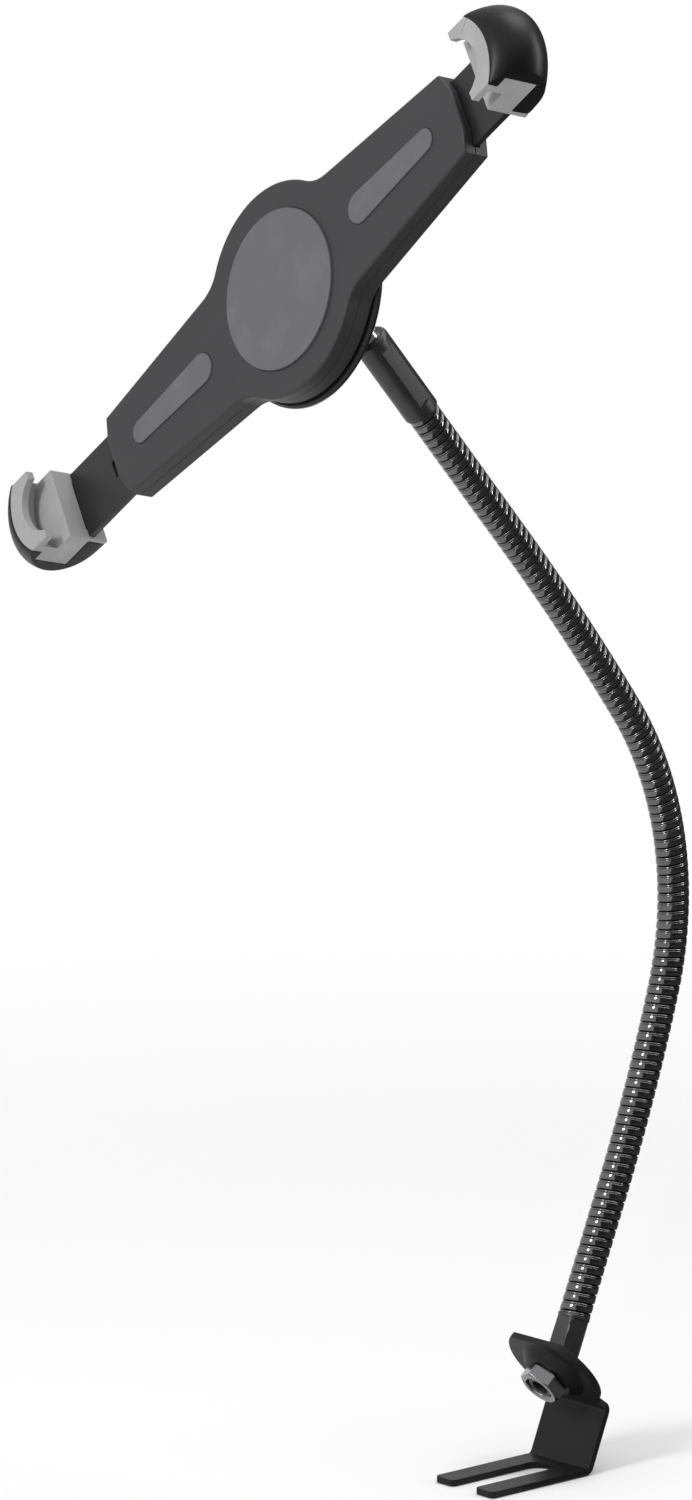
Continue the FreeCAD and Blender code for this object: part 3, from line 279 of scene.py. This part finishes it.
class Finish:
    """One material while it is put together."""

    def __init__(self, name):
        self.material = bpy.data.materials.new(name)
        self.material.use_nodes = True
        self.tree = self.material.node_tree
        self.shader = self.tree.nodes["Principled BSDF"]
        self.place = self.add("ShaderNodeTexCoord", out="Object")

    def add(self, kind, settings=None, inputs=None, out=0):
        """One node: its settings first, then the values or links of its sockets."""
        node = self.tree.nodes.new(kind)
        for setting, value in (settings or {}).items():
            setattr(node, setting, value)
        for key, value in (inputs or {}).items():
            self.connect(value, node.inputs[key])
        return Signal(self, node.outputs[out])

    def connect(self, value, socket):
        if isinstance(value, Signal):
            self.tree.links.new(value.socket, socket)
        else:
            socket.default_value = value

    def surface(self, **inputs):
        """Set or link the shader's own sockets, named in lower case with underscores."""
        for key, value in inputs.items():
            label = key.replace("_", " ").title().replace("Ior", "IOR")
            self.connect(value, self.shader.inputs[label])
        return self.material

    def noise(self, size, detail, stretch=(1, 1, 1)):
        """Soft random values round one half, in patches of about this size."""
        scaled = self.add(
            "ShaderNodeMapping", {"vector_type": "POINT"}, {"Vector": self.place, "Scale": stretch}
        )
        return self.add(
            "ShaderNodeTexNoise", {}, {"Vector": scaled, "Scale": 1 / size, "Detail": detail}
        )

    def ramp(self, value, low, high):
        """The value between low and high, spread to run smoothly from 0 to 1."""
        return self.add(
            "ShaderNodeMapRange",
            {"interpolation_type": "SMOOTHSTEP"},
            {"Value": value, "From Min": low, "From Max": high},
        )

    def mix(self, share, first, second):
        """A colour between two others."""
        return self.add(
            "ShaderNodeMix",
            {"data_type": "RGBA"},
            {0: share, 6: with_alpha(first), 7: with_alpha(second)},
            out=2,
        )

    def bump(self, height, depth, strength):
        """A normal from heights between 0 and 1 that stand for this depth."""
        return self.add(
            "ShaderNodeBump", {}, {"Height": height, "Distance": depth, "Strength": strength}
        )


def with_alpha(shade):
    return shade if isinstance(shade, Signal) else (*shade[:3], 1.0)


def shaded(shade, factor):
    return tuple(min(1.0, channel * factor) for channel in shade[:3])


def powder_coat(shade):
    """Baked powder: satin, with a fine orange peel and slightly uneven gloss."""
    finish = Finish("powder_coat")
    peel = finish.noise(0.9 * MM, 1.0)
    cloud = finish.noise(22 * MM, 3.0)
    speck = finish.ramp(finish.noise(0.35 * MM, 0.0), 0.66, 0.74)
    base = finish.mix(cloud, shaded(shade, 0.8), shaded(shade, 1.25))
    return finish.surface(
        base_color=finish.mix(speck * 0.3, base, shaded(shade, 3.0)),
        roughness=0.36 + 0.14 * cloud,
        specular_ior_level=0.16,
        normal=finish.bump(peel, 0.02 * MM, 0.4),
    )


def bright_zinc(shade):
    """Zinc plating: bright metal with a faint milky cloud and fine drawn lines."""
    finish = Finish("bright_zinc")
    cloud = finish.noise(5 * MM, 3.0)
    lines = finish.noise(0.25 * MM, 2.0, (1.0, 1.0, 8.0))
    return finish.surface(
        base_color=finish.mix(cloud, shaded(shade, 0.82), shaded(shade, 1.12)),
        metallic=1.0,
        roughness=0.12 + 0.08 * cloud,
        normal=finish.bump(lines, 0.003 * MM, 0.15),
    )


def plated_strip(shade):
    """Black plated steel strip, polished on its crown, and dull and darkened by painted shade down in the groove.
    """
    finish = Finish("plated_strip")
    cloud = finish.noise(9 * MM, 3.0)
    scratch = finish.noise(0.5 * MM, 3.0, (1.0, 1.0, 3.0))
    depth = finish.add("ShaderNodeAttribute", {"attribute_name": "groove"}, out="Fac")
    base = finish.mix(cloud, shaded(shade, 0.75), shaded(shade, 1.3))
    return finish.surface(
        # Down in the groove the colour goes nearly black: painted shade.
        base_color=finish.mix(depth, base, shaded(shade, 0.05)),
        metallic=1.0,
        roughness=0.08 + 0.06 * scratch + 0.4 * depth,
        normal=finish.bump(scratch, 0.004 * MM, 0.2),
    )


def satin_sleeve(shade):
    """Dark plated turned steel, with faint rings left by the lathe."""
    finish = Finish("satin_sleeve")
    cloud = finish.noise(6 * MM, 3.0)
    rings = finish.noise(0.3 * MM, 1.0, (0.3, 1.0, 2.0))
    return finish.surface(
        base_color=finish.mix(cloud, shaded(shade, 0.8), shaded(shade, 1.25)),
        metallic=0.75,
        roughness=0.36 + 0.12 * cloud,
        normal=finish.bump(rings, 0.008 * MM, 0.3),
    )


def turned_steel(shade):
    """Bright turned steel."""
    finish = Finish("turned_steel")
    cloud = finish.noise(4 * MM, 3.0)
    rings = finish.noise(0.2 * MM, 1.0, (0.4, 1.0, 1.4))
    return finish.surface(
        base_color=finish.mix(cloud, shaded(shade, 0.85), shaded(shade, 1.1)),
        metallic=1.0,
        roughness=0.16 + 0.1 * cloud,
        normal=finish.bump(rings, 0.008 * MM, 0.3),
    )


def moulded_plastic(name, shade, grain, roughness, depth):
    """Moulded plastic with the fine spark eroded grain of its tool."""
    finish = Finish(name)
    texture = finish.noise(grain, 2.0)
    cloud = finish.noise(30 * MM, 2.0)
    dust = finish.ramp(finish.noise(1.1 * MM, 4.0), 0.62, 0.78)
    base = finish.mix(cloud, shaded(shade, 0.86), shaded(shade, 1.16))
    return finish.surface(
        base_color=finish.mix(dust * 0.15, base, shaded(shade, 2.0)),
        roughness=roughness - 0.05 + 0.1 * texture,
        specular_ior_level=0.3,
        normal=finish.bump(texture, depth, 0.5),
    )


def smooth_plastic(name, shade, roughness):
    """Smooth black plastic, glossy or satin, with hair marks that only show in its shine."""
    finish = Finish(name)
    flow = finish.noise(26 * MM, 2.0)
    hairs = finish.ramp(finish.noise(0.6 * MM, 5.0, (0.25, 1.0, 2.2)), 0.6, 0.75)
    return finish.surface(
        base_color=finish.mix(flow, shaded(shade, 0.8), shaded(shade, 1.3)),
        roughness=roughness + 0.06 * flow + 0.08 * hairs,
        specular_ior_level=0.2,
        normal=finish.bump(flow, 0.02 * MM, 0.3),
    )


def soft_rubber(name, shade, grain):
    """Matt rubber: fine even grain, paler where it has been rubbed."""
    finish = Finish(name)
    texture = finish.noise(grain, 2.0)
    cloud = finish.noise(16 * MM, 4.0)
    rubbed = finish.ramp(cloud, 0.45, 0.75)
    return finish.surface(
        base_color=finish.mix(rubbed * 0.5, shaded(shade, 0.94), shaded(shade, 1.18)),
        roughness=0.72 + 0.16 * texture - 0.1 * rubbed,
        specular_ior_level=0.25,
        normal=finish.bump(texture, 0.05 * MM, 0.45),
    )


def plain_nylon(shade):
    """Natural nylon, slightly uneven."""
    finish = Finish("plain_nylon")
    cloud = finish.noise(5 * MM, 3.0)
    return finish.surface(
        base_color=finish.mix(cloud, shaded(shade, 0.92), shaded(shade, 1.06)),
        roughness=0.4 + 0.15 * cloud,
        normal=finish.bump(finish.noise(0.5 * MM, 2.0), 0.02 * MM, 0.3),
    )


def oiled_wire(shade):
    """Oiled spring wire."""
    finish = Finish("oiled_wire")
    cloud = finish.noise(2 * MM, 3.0)
    return finish.surface(
        base_color=finish.mix(cloud, shaded(shade, 0.7), shaded(shade, 1.1)),
        metallic=1.0,
        roughness=0.24 + 0.14 * cloud,
    )


def blackened_steel(shade):
    """Blackened steel of a screw."""
    finish = Finish("blackened_steel")
    cloud = finish.noise(1.5 * MM, 3.0)
    return finish.surface(
        base_color=finish.mix(cloud, shaded(shade, 0.7), shaded(shade, 1.5)),
        metallic=0.7,
        roughness=0.34 + 0.14 * cloud,
        normal=finish.bump(cloud, 0.02 * MM, 0.4),
    )


finishes = {}


def make_finishes(colours):
    """One material for each of the record's slots, made once."""
    if finishes:
        return
    finishes["coated_steel"] = powder_coat(colours.plate_coat)
    finishes["zinc_steel"] = bright_zinc(colours.zinc)
    finishes["neck_metal"] = plated_strip(colours.neck)
    finishes["sleeve_metal"] = satin_sleeve(colours.sleeve)
    finishes["ball_steel"] = turned_steel(colours.ball)
    finishes["seat_nylon"] = plain_nylon(colours.nylon)
    finishes["swivel_plastic"] = smooth_plastic("swivel_gloss", colours.flange, 0.16)
    finishes["collar_plastic"] = moulded_plastic(
        "collar_grain", colours.collar, 0.7 * MM, 0.5, 0.05 * MM
    )
    finishes["housing_plastic"] = moulded_plastic(
        "housing_grain", colours.housing, 0.55 * MM, 0.5, 0.05 * MM
    )
    finishes["slider_plastic"] = moulded_plastic(
        "slider_satin", colours.slider, 0.4 * MM, 0.36, 0.02 * MM
    )
    finishes["jaw_plastic"] = smooth_plastic("jaw_satin", colours.jaw, 0.36)
    finishes["grip_rubber"] = soft_rubber("grip_rubber_grain", colours.grip, 0.5 * MM)
    finishes["pad_rubber"] = soft_rubber("pad_rubber_grain", colours.pad, 0.8 * MM)
    finishes["spring_steel"] = oiled_wire(colours.spring)
    finishes["black_screw"] = blackened_steel(colours.screw)


NODE_SLOTS = {entry["node"]: entry["material_slot"] for entry in frame["record"]["subparts"]}
NODE_BODIES = {
    node: body for body, nodes in frame["record"]["behaviour"]["bodies"].items() for node in nodes
}
JOINTS = {joint["name"]: joint for joint in frame["joints"]}


def wear(piece, slot):
    """Give a piece one finish all over."""
    piece.data.materials.clear()
    piece.data.materials.append(finishes[slot])
    for face in piece.data.polygons:
        face.material_index = 0


def dress(*nodes):
    """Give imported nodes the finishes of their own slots."""
    for node in nodes:
        for holder in frame["nodes"][node].material_slots:
            holder.material = finishes[NODE_SLOTS[node]]


# Modelling helpers


def select_only(piece):
    """Select one piece and make it active."""
    bpy.ops.object.select_all(action="DESELECT")
    piece.select_set(True)
    bpy.context.view_layer.objects.active = piece


def edit(piece, choice="SELECT"):
    """Open a piece in edit mode with all or none of it selected."""
    select_only(piece)
    bpy.ops.object.mode_set(mode="EDIT")
    bpy.ops.mesh.select_all(action=choice)


def done():
    """Leave edit mode."""
    bpy.ops.object.mode_set(mode="OBJECT")


def named(name):
    """The active object under a piece's name."""
    piece = bpy.context.active_object
    piece.name = name
    piece.data.name = name
    return piece


def modify(piece, kind, **settings):
    """Add a modifier with these settings and apply it at once."""
    select_only(piece)
    modifier = piece.modifiers.new(kind.title(), kind)
    for setting, value in settings.items():
        setattr(modifier, setting, value)
    bpy.ops.object.modifier_apply(modifier=modifier.name)


def settle(piece):
    """Put the piece's place into its mesh."""
    select_only(piece)
    bpy.ops.object.transform_apply(location=True, rotation=True, scale=True)


def smooth(piece, angle):
    """Shade a piece smooth, except across edges that turn by more than this angle."""
    select_only(piece)
    bpy.ops.object.shade_smooth_by_angle(angle=math.radians(angle))


def soften(*nodes):
    """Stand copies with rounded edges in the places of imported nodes."""
    for node in nodes:
        width, angle = EDGES[node]
        slot = NODE_SLOTS[node]
        piece = bpy.data.objects.new(node + "_soft", frame["nodes"][node].data.copy())
        bpy.context.scene.collection.objects.link(piece)
        edit(piece)
        bpy.ops.mesh.customdata_custom_splitnormals_clear()
        bpy.ops.mesh.remove_doubles(threshold=SOLID_SEAM)
        bpy.ops.mesh.dissolve_limited(angle_limit=math.radians(FLAT_ANGLE))
        done()
        modify(
            piece,
            "BEVEL",
            width=width,
            segments=2,
            limit_method="ANGLE",
            angle_limit=math.radians(angle),
            use_clamp_overlap=False,
            miter_outer="MITER_ARC",
        )
        smooth(piece, angle)
        modify(piece, "WEIGHTED_NORMAL", keep_sharp=True)
        wear(piece, slot)
        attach(piece, NODE_BODIES[node])
        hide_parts(node)


def turn_outward():
    """Turn all faces of the mesh in edit mode outward, and leave edit mode."""
    bpy.ops.mesh.select_all(action="SELECT")
    bpy.ops.mesh.normals_make_consistent(inside=False)
    done()


def extruded_line(points):
    """An open line of points in the plane Y = 0, drawn from its first point."""
    first = points[0]
    bpy.ops.mesh.primitive_plane_add(size=MM, location=(first[0], 0, first[1]))
    bpy.ops.object.mode_set(mode="EDIT")
    bpy.ops.mesh.merge(type="CENTER")
    for before, after in zip(points, points[1:]):
        step = (after[0] - before[0], 0, after[1] - before[1])
        bpy.ops.mesh.extrude_vertices_move(TRANSFORM_OT_translate={"value": step})
    done()
    line = bpy.context.active_object
    settle(line)
    return line


# The gooseneck


def along(lean):
    """The way ahead of a line in the plane X = 0 that leans back by this angle."""
    return Vector((0, math.sin(lean), math.cos(lean)))


def across(lean):
    """The way out from the middle of the bend of a line that leans back by this angle."""
    return Vector((0, math.cos(lean), -math.sin(lean)))


def neck_line():
    """The gooseneck's line as one curve, and its length."""
    points = []
    place = Vector(NECK_FOOT)
    lean = math.radians(NECK_LEAN)
    total = 0.0
    for amount, turn in NECK_STEPS:
        swept = math.radians(turn)
        after = lean - swept
        if turn:
            reach = 4 / 3 * math.tan(swept / 4) * amount
            stretch = amount * swept
            end = place - across(lean) * amount + across(after) * amount
        else:
            reach = amount / 3
            stretch = amount
            end = place + along(lean) * amount
        points.append((place, along(lean) * reach, along(after) * reach))
        place = end
        lean = after
        total += stretch
    curve = bpy.data.curves.new("neck_line", "CURVE")
    curve.dimensions = "3D"
    curve.resolution_u = 64
    spline = curve.splines.new("BEZIER")
    spline.bezier_points.add(len(points))
    for number, point in enumerate(spline.bezier_points):
        point.handle_left_type = "FREE"
        point.handle_right_type = "FREE"
        last = number == len(points)
        point.co = place if last else points[number][0]
        leave = points[-1][2] if last else points[number][1]
        arrive = points[number - 1][2] if number else leave
        point.handle_left = point.co - arrive
        point.handle_right = point.co + leave
    line = bpy.data.objects.new("neck_line", curve)
    bpy.context.scene.collection.objects.link(line)
    return line, total


def neck_point(distance):
    """The point of the gooseneck's line at this distance from its foot."""
    place = Vector(NECK_FOOT)
    lean = math.radians(NECK_LEAN)
    for amount, turn in NECK_STEPS:
        swept = math.radians(turn)
        stretch = amount * swept if turn else amount
        share = min(1.0, distance / stretch)
        if turn:
            middle = place - across(lean) * amount
            lean -= swept * share
            place = middle + across(lean) * amount
        else:
            place = place + along(lean) * amount * share
        distance -= stretch * share
        if distance <= 0:
            break
    return place


def wound_strip(sizes, pitch, start, turns, trim_low=None, trim_high=None):
    """A straight length of the strip, wound round Z from one height."""
    crown = sizes.neck_radius
    floor = crown - sizes.groove_depth
    points = [(floor + rise * sizes.groove_depth, start + share * pitch) for share, rise in BAND]
    strip = extruded_line(points)
    modify(
        strip,
        "SCREW",
        axis="Z",
        angle=2 * math.pi,
        screw_offset=pitch,
        iterations=turns,
        steps=sizes.neck_facets,
        render_steps=sizes.neck_facets,
        use_merge_vertices=False,
        use_normal_calculate=True,
    )
    edit(strip)
    bpy.ops.mesh.remove_doubles(threshold=SEAM)
    for height, low in ((trim_low, True), (trim_high, False)):
        if height is None:
            continue
        bpy.ops.mesh.select_all(action="SELECT")
        bpy.ops.mesh.bisect(
            plane_co=(0, 0, height), plane_no=(0, 0, 1), clear_inner=low, clear_outer=not low
        )
    turn_outward()
    # How deep each point lies in the groove, which the strip's finish turns into painted shade.
    groove = strip.data.attributes.new("groove", "FLOAT", "POINT")
    for vertex, mark in zip(strip.data.vertices, groove.data):
        depth = (crown - math.hypot(vertex.co.x, vertex.co.y)) / sizes.groove_depth
        mark.value = min(1.0, max(0.0, depth * GROOVE_SHADE_SLOPE - GROOVE_SHADE_START))
    return strip


class MOUNT_OT_gooseneck(bpy.types.Operator):
    """Wind the gooseneck's strip round its line, one piece for each bend and one for each end"""

    bl_idname = "mount.gooseneck"
    bl_label = "Gooseneck"

    def execute(self, context):
        sizes = context.scene.mount_sizes
        make_finishes(context.scene.mount_colours)
        line, total = neck_line()
        count = len(NECK_BODIES)
        span = total / count
        pitch = span / sizes.neck_turns
        half_turns = sizes.neck_turns // 2
        middles = [span * (number + 0.5) for number in range(count)]
        strips = []
        foot = wound_strip(sizes, pitch, -pitch, half_turns + 1, trim_low=-NECK_TUCK)
        strips.append((foot, "gooseneck_foot", 0))
        for number, middle in enumerate(middles[:-1]):
            strip = wound_strip(sizes, pitch, middle, sizes.neck_turns)
            strips.append((strip, f"gooseneck_bend_{number + 1}", number + 1))
        end = total + NECK_TUCK
        head = wound_strip(sizes, pitch, middles[-1], half_turns, trim_high=end)
        strips.append((head, "gooseneck_head", count))
        for strip, name, place in strips:
            modify(strip, "CURVE", object=line, deform_axis="POS_Z")
            select_only(strip)
            strip = named(name)
            smooth(strip, STRIP_SHARP)
            wear(strip, "neck_metal")
            if place == 0:
                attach(strip, NECK_BODIES[0])
                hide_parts("gooseneck_section_1")
            elif place == count:
                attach(strip, NECK_BODIES[-1])
                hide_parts(f"gooseneck_section_{count}")
            else:
                NECK_BODIES[place - 1]
                neck_point(middles[place - 1])
                neck_point(middles[place])
                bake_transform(strip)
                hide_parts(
                    f"gooseneck_section_{place}", f"gooseneck_section_{place + 1}"
                )
        bpy.data.objects.remove(line)
        return {"FINISHED"}


class MOUNT_OT_fastening(bpy.types.Operator):
    """Finish the bent plate, its nut and washer and the sleeve with the stud"""

    bl_idname = "mount.fastening"
    bl_label = "Plate and Fastening"

    def execute(self, context):
        make_finishes(context.scene.mount_colours)
        soften("seat_rail_bracket", "lower_ferrule", "hex_nut")
        dress("plain_washer")
        return {"FINISHED"}


class MOUNT_OT_ball_joint(bpy.types.Operator):
    """Finish the upper sleeve, the ball joint and the swivel behind the cradle"""

    bl_idname = "mount.ball_joint"
    bl_label = "Ball Joint and Swivel"

    def execute(self, context):
        make_finishes(context.scene.mount_colours)
        dress("ball_stud", "ball_seat", "swivel_flange", "friction_ring")
        dress("swivel_washer", "swivel_screw")
        soften("upper_ferrule", "locking_collar")
        return {"FINISHED"}


class MOUNT_OT_cradle(bpy.types.Operator):
    """Finish the housing's two halves, its pads, its screws and the sliding arms"""

    bl_idname = "mount.cradle"
    bl_label = "Cradle"

    def execute(self, context):
        make_finishes(context.scene.mount_colours)
        dress("housing_screws")
        soften("front_housing", "rear_housing")
        soften("hub_pad", "upper_arm_pad", "lower_arm_pad")
        soften("upper_slider", "lower_slider")
        return {"FINISHED"}


class MOUNT_OT_jaws(bpy.types.Operator):
    """Finish the two jaws: their satin caps, rubber linings and screws"""

    bl_idname = "mount.jaws"
    bl_label = "Jaws"

    def execute(self, context):
        make_finishes(context.scene.mount_colours)
        for side in ("upper", "lower"):
            soften(f"{side}_jaw_shell", f"{side}_jaw_liner")
            dress(f"{side}_jaw_screws")
        return {"FINISHED"}


# The springs


def cradle_place():
    """The cradle's own frame, from its swivel and the upper slide."""
    ahead = Vector(JOINTS["upper_jaw_slide"]["axis"]).normalized()
    out = Vector(JOINTS["cradle_rotate"]["axis"]).normalized()
    side = out.cross(ahead)
    place = Matrix((ahead, side, out)).transposed().to_4x4()
    place.translation = Vector(JOINTS["cradle_rotate"]["pos_m"])
    return place


def wound_coil(sizes, low, high):
    """A close coil of round wire, wound round Z between two heights."""
    wire = sizes.spring_wire / 2
    turns = [math.radians(360 / WIRE_SIDES * number) for number in range(WIRE_SIDES + 1)]
    ring = [
        (sizes.spring_radius + wire * math.cos(turn), low + wire * math.sin(turn))
        for turn in turns
    ]
    coil = extruded_line(ring)
    modify(
        coil,
        "SCREW",
        axis="Z",
        angle=2 * math.pi,
        screw_offset=(high - low) / sizes.spring_turns,
        iterations=sizes.spring_turns,
        steps=COIL_STEPS,
        render_steps=COIL_STEPS,
    )
    edit(coil)
    bpy.ops.mesh.remove_doubles(threshold=SEAM)
    turn_outward()
    return coil


def spring_eye(sizes, height):
    """The closed eye at one end of a spring."""
    bpy.ops.object.select_all(action="DESELECT")
    bpy.ops.mesh.primitive_torus_add(
        major_segments=EYE_STEPS,
        minor_segments=WIRE_SIDES,
        major_radius=SPRING_EYE,
        minor_radius=sizes.spring_wire / 2,
        location=(0, 0, height),
        rotation=(0, math.radians(90), 0),
    )
    eye = bpy.context.active_object
    settle(eye)
    return eye


class MOUNT_OT_springs(bpy.types.Operator):
    """Wind the two extension springs between the housing and the sliding arms"""

    bl_idname = "mount.springs"
    bl_label = "Springs"

    def execute(self, context):
        sizes = context.scene.mount_sizes
        make_finishes(context.scene.mount_colours)
        lay = Matrix.Rotation(math.radians(90), 4, "Y")
        offset = Matrix.Translation((0, SPRING_OFFSET, SPRING_HEIGHT))
        for side, turn in (("upper", 0.0), ("lower", math.pi)):
            low = SPRING_ANCHOR + SPRING_SHORT * sizes.spring_radius
            high = SPRING_TAB[side] - SPRING_SHORT * sizes.spring_radius
            coil = wound_coil(sizes, low, high)
            eyes = [spring_eye(sizes, height) for height in (SPRING_ANCHOR, SPRING_TAB[side])]
            select_only(coil)
            for eye in eyes:
                eye.select_set(True)
            bpy.ops.object.join()
            spring = named(f"{side}_coil_spring")
            around = cradle_place() @ Matrix.Rotation(turn, 4, "Z")
            spring.matrix_world = around @ offset @ lay
            settle(spring)
            smooth(spring, SPRING_SHARP)
            wear(spring, "spring_steel")
            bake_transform(spring)
            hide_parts(f"{side}_spring")
        return {"FINISHED"}


# The stage


def seen_directly(finish):
    """One for rays from the camera, a mirror or glass, and nothing for the rest."""
    path = finish.add("ShaderNodeLightPath", out="Is Camera Ray")
    rays = path.socket.node.outputs
    seen = path.reckon("MAXIMUM", path, Signal(finish, rays["Is Glossy Ray"]))
    return seen.reckon("MAXIMUM", seen, Signal(finish, rays["Is Transmission Ray"]))


def lay_floor(shade):
    """A pale floor that keeps the mount's shadow and fades to white away from it."""
    bpy.ops.object.select_all(action="DESELECT")
    bpy.ops.mesh.primitive_plane_add(size=FLOOR_SIZE, location=(0, 0, -FLOOR_DROP))
    floor = named("studio_floor")
    settle(floor)
    finish = Finish("floor_paint")
    cloud = finish.noise(0.4, 2.0)
    finish.surface(
        base_color=finish.mix(cloud, shaded(shade, 0.99), shaded(shade, 1.01)),
        roughness=0.9,
        emission_color=(1.0, 1.0, 1.0, 1.0),
        specular_ior_level=0.1,
    )
    seen = seen_directly(finish)
    finish.connect(seen * FLOOR_GLOW, finish.shader.inputs["Emission Strength"])
    reach = finish.add(
        "ShaderNodeVectorMath", {"operation": "LENGTH"}, {"Vector": finish.place}, out="Value"
    )
    white = finish.add("ShaderNodeEmission", {}, {"Color": (1, 1, 1, 1), "Strength": 1.0})
    far = seen * finish.ramp(reach, *FLOOR_FADE)
    paint = Signal(finish, finish.shader.outputs[0])
    blend = finish.add("ShaderNodeMixShader", {}, {0: far, 1: paint, 2: white})
    finish.connect(blend, finish.tree.nodes["Material Output"].inputs["Surface"])
    floor.data.materials.append(finish.material)


class WorldFinish(Finish):
    """The world's shader, put together in the same way as a material."""

    def __init__(self, world):
        world.use_nodes = True
        self.tree = world.node_tree
        self.shader = self.tree.nodes["Background"]


def light_world(scene):
    """A plain even light, and a white backdrop where it is seen."""
    world = scene.world or bpy.data.worlds.new("studio")
    scene.world = world
    air = WorldFinish(world)
    air.shader.inputs["Color"].default_value = (1.0, 1.0, 1.0, 1.0)
    strength = AIR_LIGHT + seen_directly(air) * AIR_SEEN
    air.connect(strength, air.shader.inputs["Strength"])


def hang_lamp(name, place, size, power, glint):
    """A soft lamp that faces the mount. A glint lamp only shows as a reflection."""
    light = bpy.data.lights.new(name, "AREA")
    light.shape = "ELLIPSE"
    light.size, light.size_y = size
    light.energy = power
    holder = bpy.data.objects.new(name, light)
    bpy.context.scene.collection.objects.link(holder)
    holder.location = place
    holder.rotation_mode = "QUATERNION"
    holder.rotation_quaternion = (Vector(LAMP_AIM) - Vector(place)).to_track_quat("-Z", "Y")
    holder.visible_diffuse = not glint
    holder.visible_camera = False


def stand_boards():
    """Dark boards to the right of the camera, which only show as a reflection."""
    finish = Finish("dark_board")
    dark, pale = ((value,) * 3 for value in CORNER_PAINT)
    finish.surface(base_color=finish.mix(finish.noise(0.05, 3.0), dark, pale), roughness=0.8)
    bpy.ops.object.select_all(action="DESELECT")
    bpy.ops.mesh.primitive_cube_add(size=2.0)
    corner = named("dark_corner")
    # The sides to the left and above come away: the light comes in through them.
    edit(corner, "DESELECT")
    bpy.ops.mesh.select_mode(type="FACE")
    done()
    for face in corner.data.polygons:
        face.select = face.normal.x < -0.5 or face.normal.z > 0.5
    bpy.ops.object.mode_set(mode="EDIT")
    bpy.ops.mesh.delete(type="FACE")
    bpy.ops.mesh.select_mode(type="VERT")
    done()
    turn = math.radians(CORNER_TURN)
    corner.scale = CORNER_HALF
    corner.rotation_euler.z = turn
    corner.location = (
        CORNER_REACH * math.cos(turn),
        CORNER_REACH * math.sin(turn),
        CORNER_HALF[2] + MM,
    )
    settle(corner)
    corner.data.materials.append(finish.material)
    corner.visible_camera = False
    corner.visible_diffuse = False
    corner.visible_shadow = False
    corner.visible_transmission = False


def stand_camera(scene):
    """The camera at the photograph's view."""
    right, up = Vector(CAMERA_RIGHT), Vector(CAMERA_UP)
    turn = Matrix((right, up, right.cross(up))).transposed().to_4x4()
    camera = bpy.data.objects.new("camera", bpy.data.cameras.new("camera"))
    scene.collection.objects.link(camera)
    camera.matrix_world = Matrix.Translation(CAMERA_PLACE) @ turn
    camera.data.sensor_fit = "VERTICAL"
    camera.data.sensor_width = CAMERA_SENSOR
    camera.data.sensor_height = CAMERA_SENSOR
    camera.data.lens = CAMERA_LENS
    camera.data.clip_start, camera.data.clip_end = CAMERA_CLIP
    scene.camera = camera


class MOUNT_OT_stage(bpy.types.Operator):
    """Lay the pale floor and set up the camera, the lamps and the world"""

    bl_idname = "mount.stage"
    bl_label = "Stage"

    def execute(self, context):
        scene = context.scene
        lay_floor(scene.mount_colours.floor)
        light_world(scene)
        for entry in LAMPS:
            hang_lamp(*entry)
        stand_boards()
        stand_camera(scene)
        scene.view_settings.view_transform = "Standard"
        return {"FINISHED"}


class MOUNT_PT_panel(bpy.types.Panel):
    """Sizes, colours and steps of the tablet mount"""

    bl_idname = "MOUNT_PT_panel"
    bl_label = "Tablet Mount"
    bl_space_type = "VIEW_3D"
    bl_region_type = "UI"
    bl_category = "Mount"

    def draw(self, context):
        column = self.layout.column()
        for group in (context.scene.mount_sizes, context.scene.mount_colours):
            for name in group.__annotations__:
                column.prop(group, name)
        for step in STEPS:
            column.operator(step.bl_idname)


STEPS = (
    MOUNT_OT_fastening,
    MOUNT_OT_gooseneck,
    MOUNT_OT_ball_joint,
    MOUNT_OT_cradle,
    MOUNT_OT_springs,
    MOUNT_OT_jaws,
    MOUNT_OT_stage,
)
CLASSES = (MountSizes, MountColours, *STEPS, MOUNT_PT_panel)


def register():
    for cls in CLASSES:
        bpy.utils.register_class(cls)
    bpy.types.Scene.mount_sizes = bpy.props.PointerProperty(type=MountSizes)
    bpy.types.Scene.mount_colours = bpy.props.PointerProperty(type=MountColours)


def unregister():
    del bpy.types.Scene.mount_colours
    del bpy.types.Scene.mount_sizes
    for cls in reversed(CLASSES):
        bpy.utils.unregister_class(cls)


def main():
    register()
    bpy.ops.mount.fastening()
    bpy.ops.mount.gooseneck()
    bpy.ops.mount.ball_joint()
    bpy.ops.mount.cradle()
    bpy.ops.mount.springs()
    bpy.ops.mount.jaws()
    bpy.ops.mount.stage()


if __name__ == "__main__":
    main()
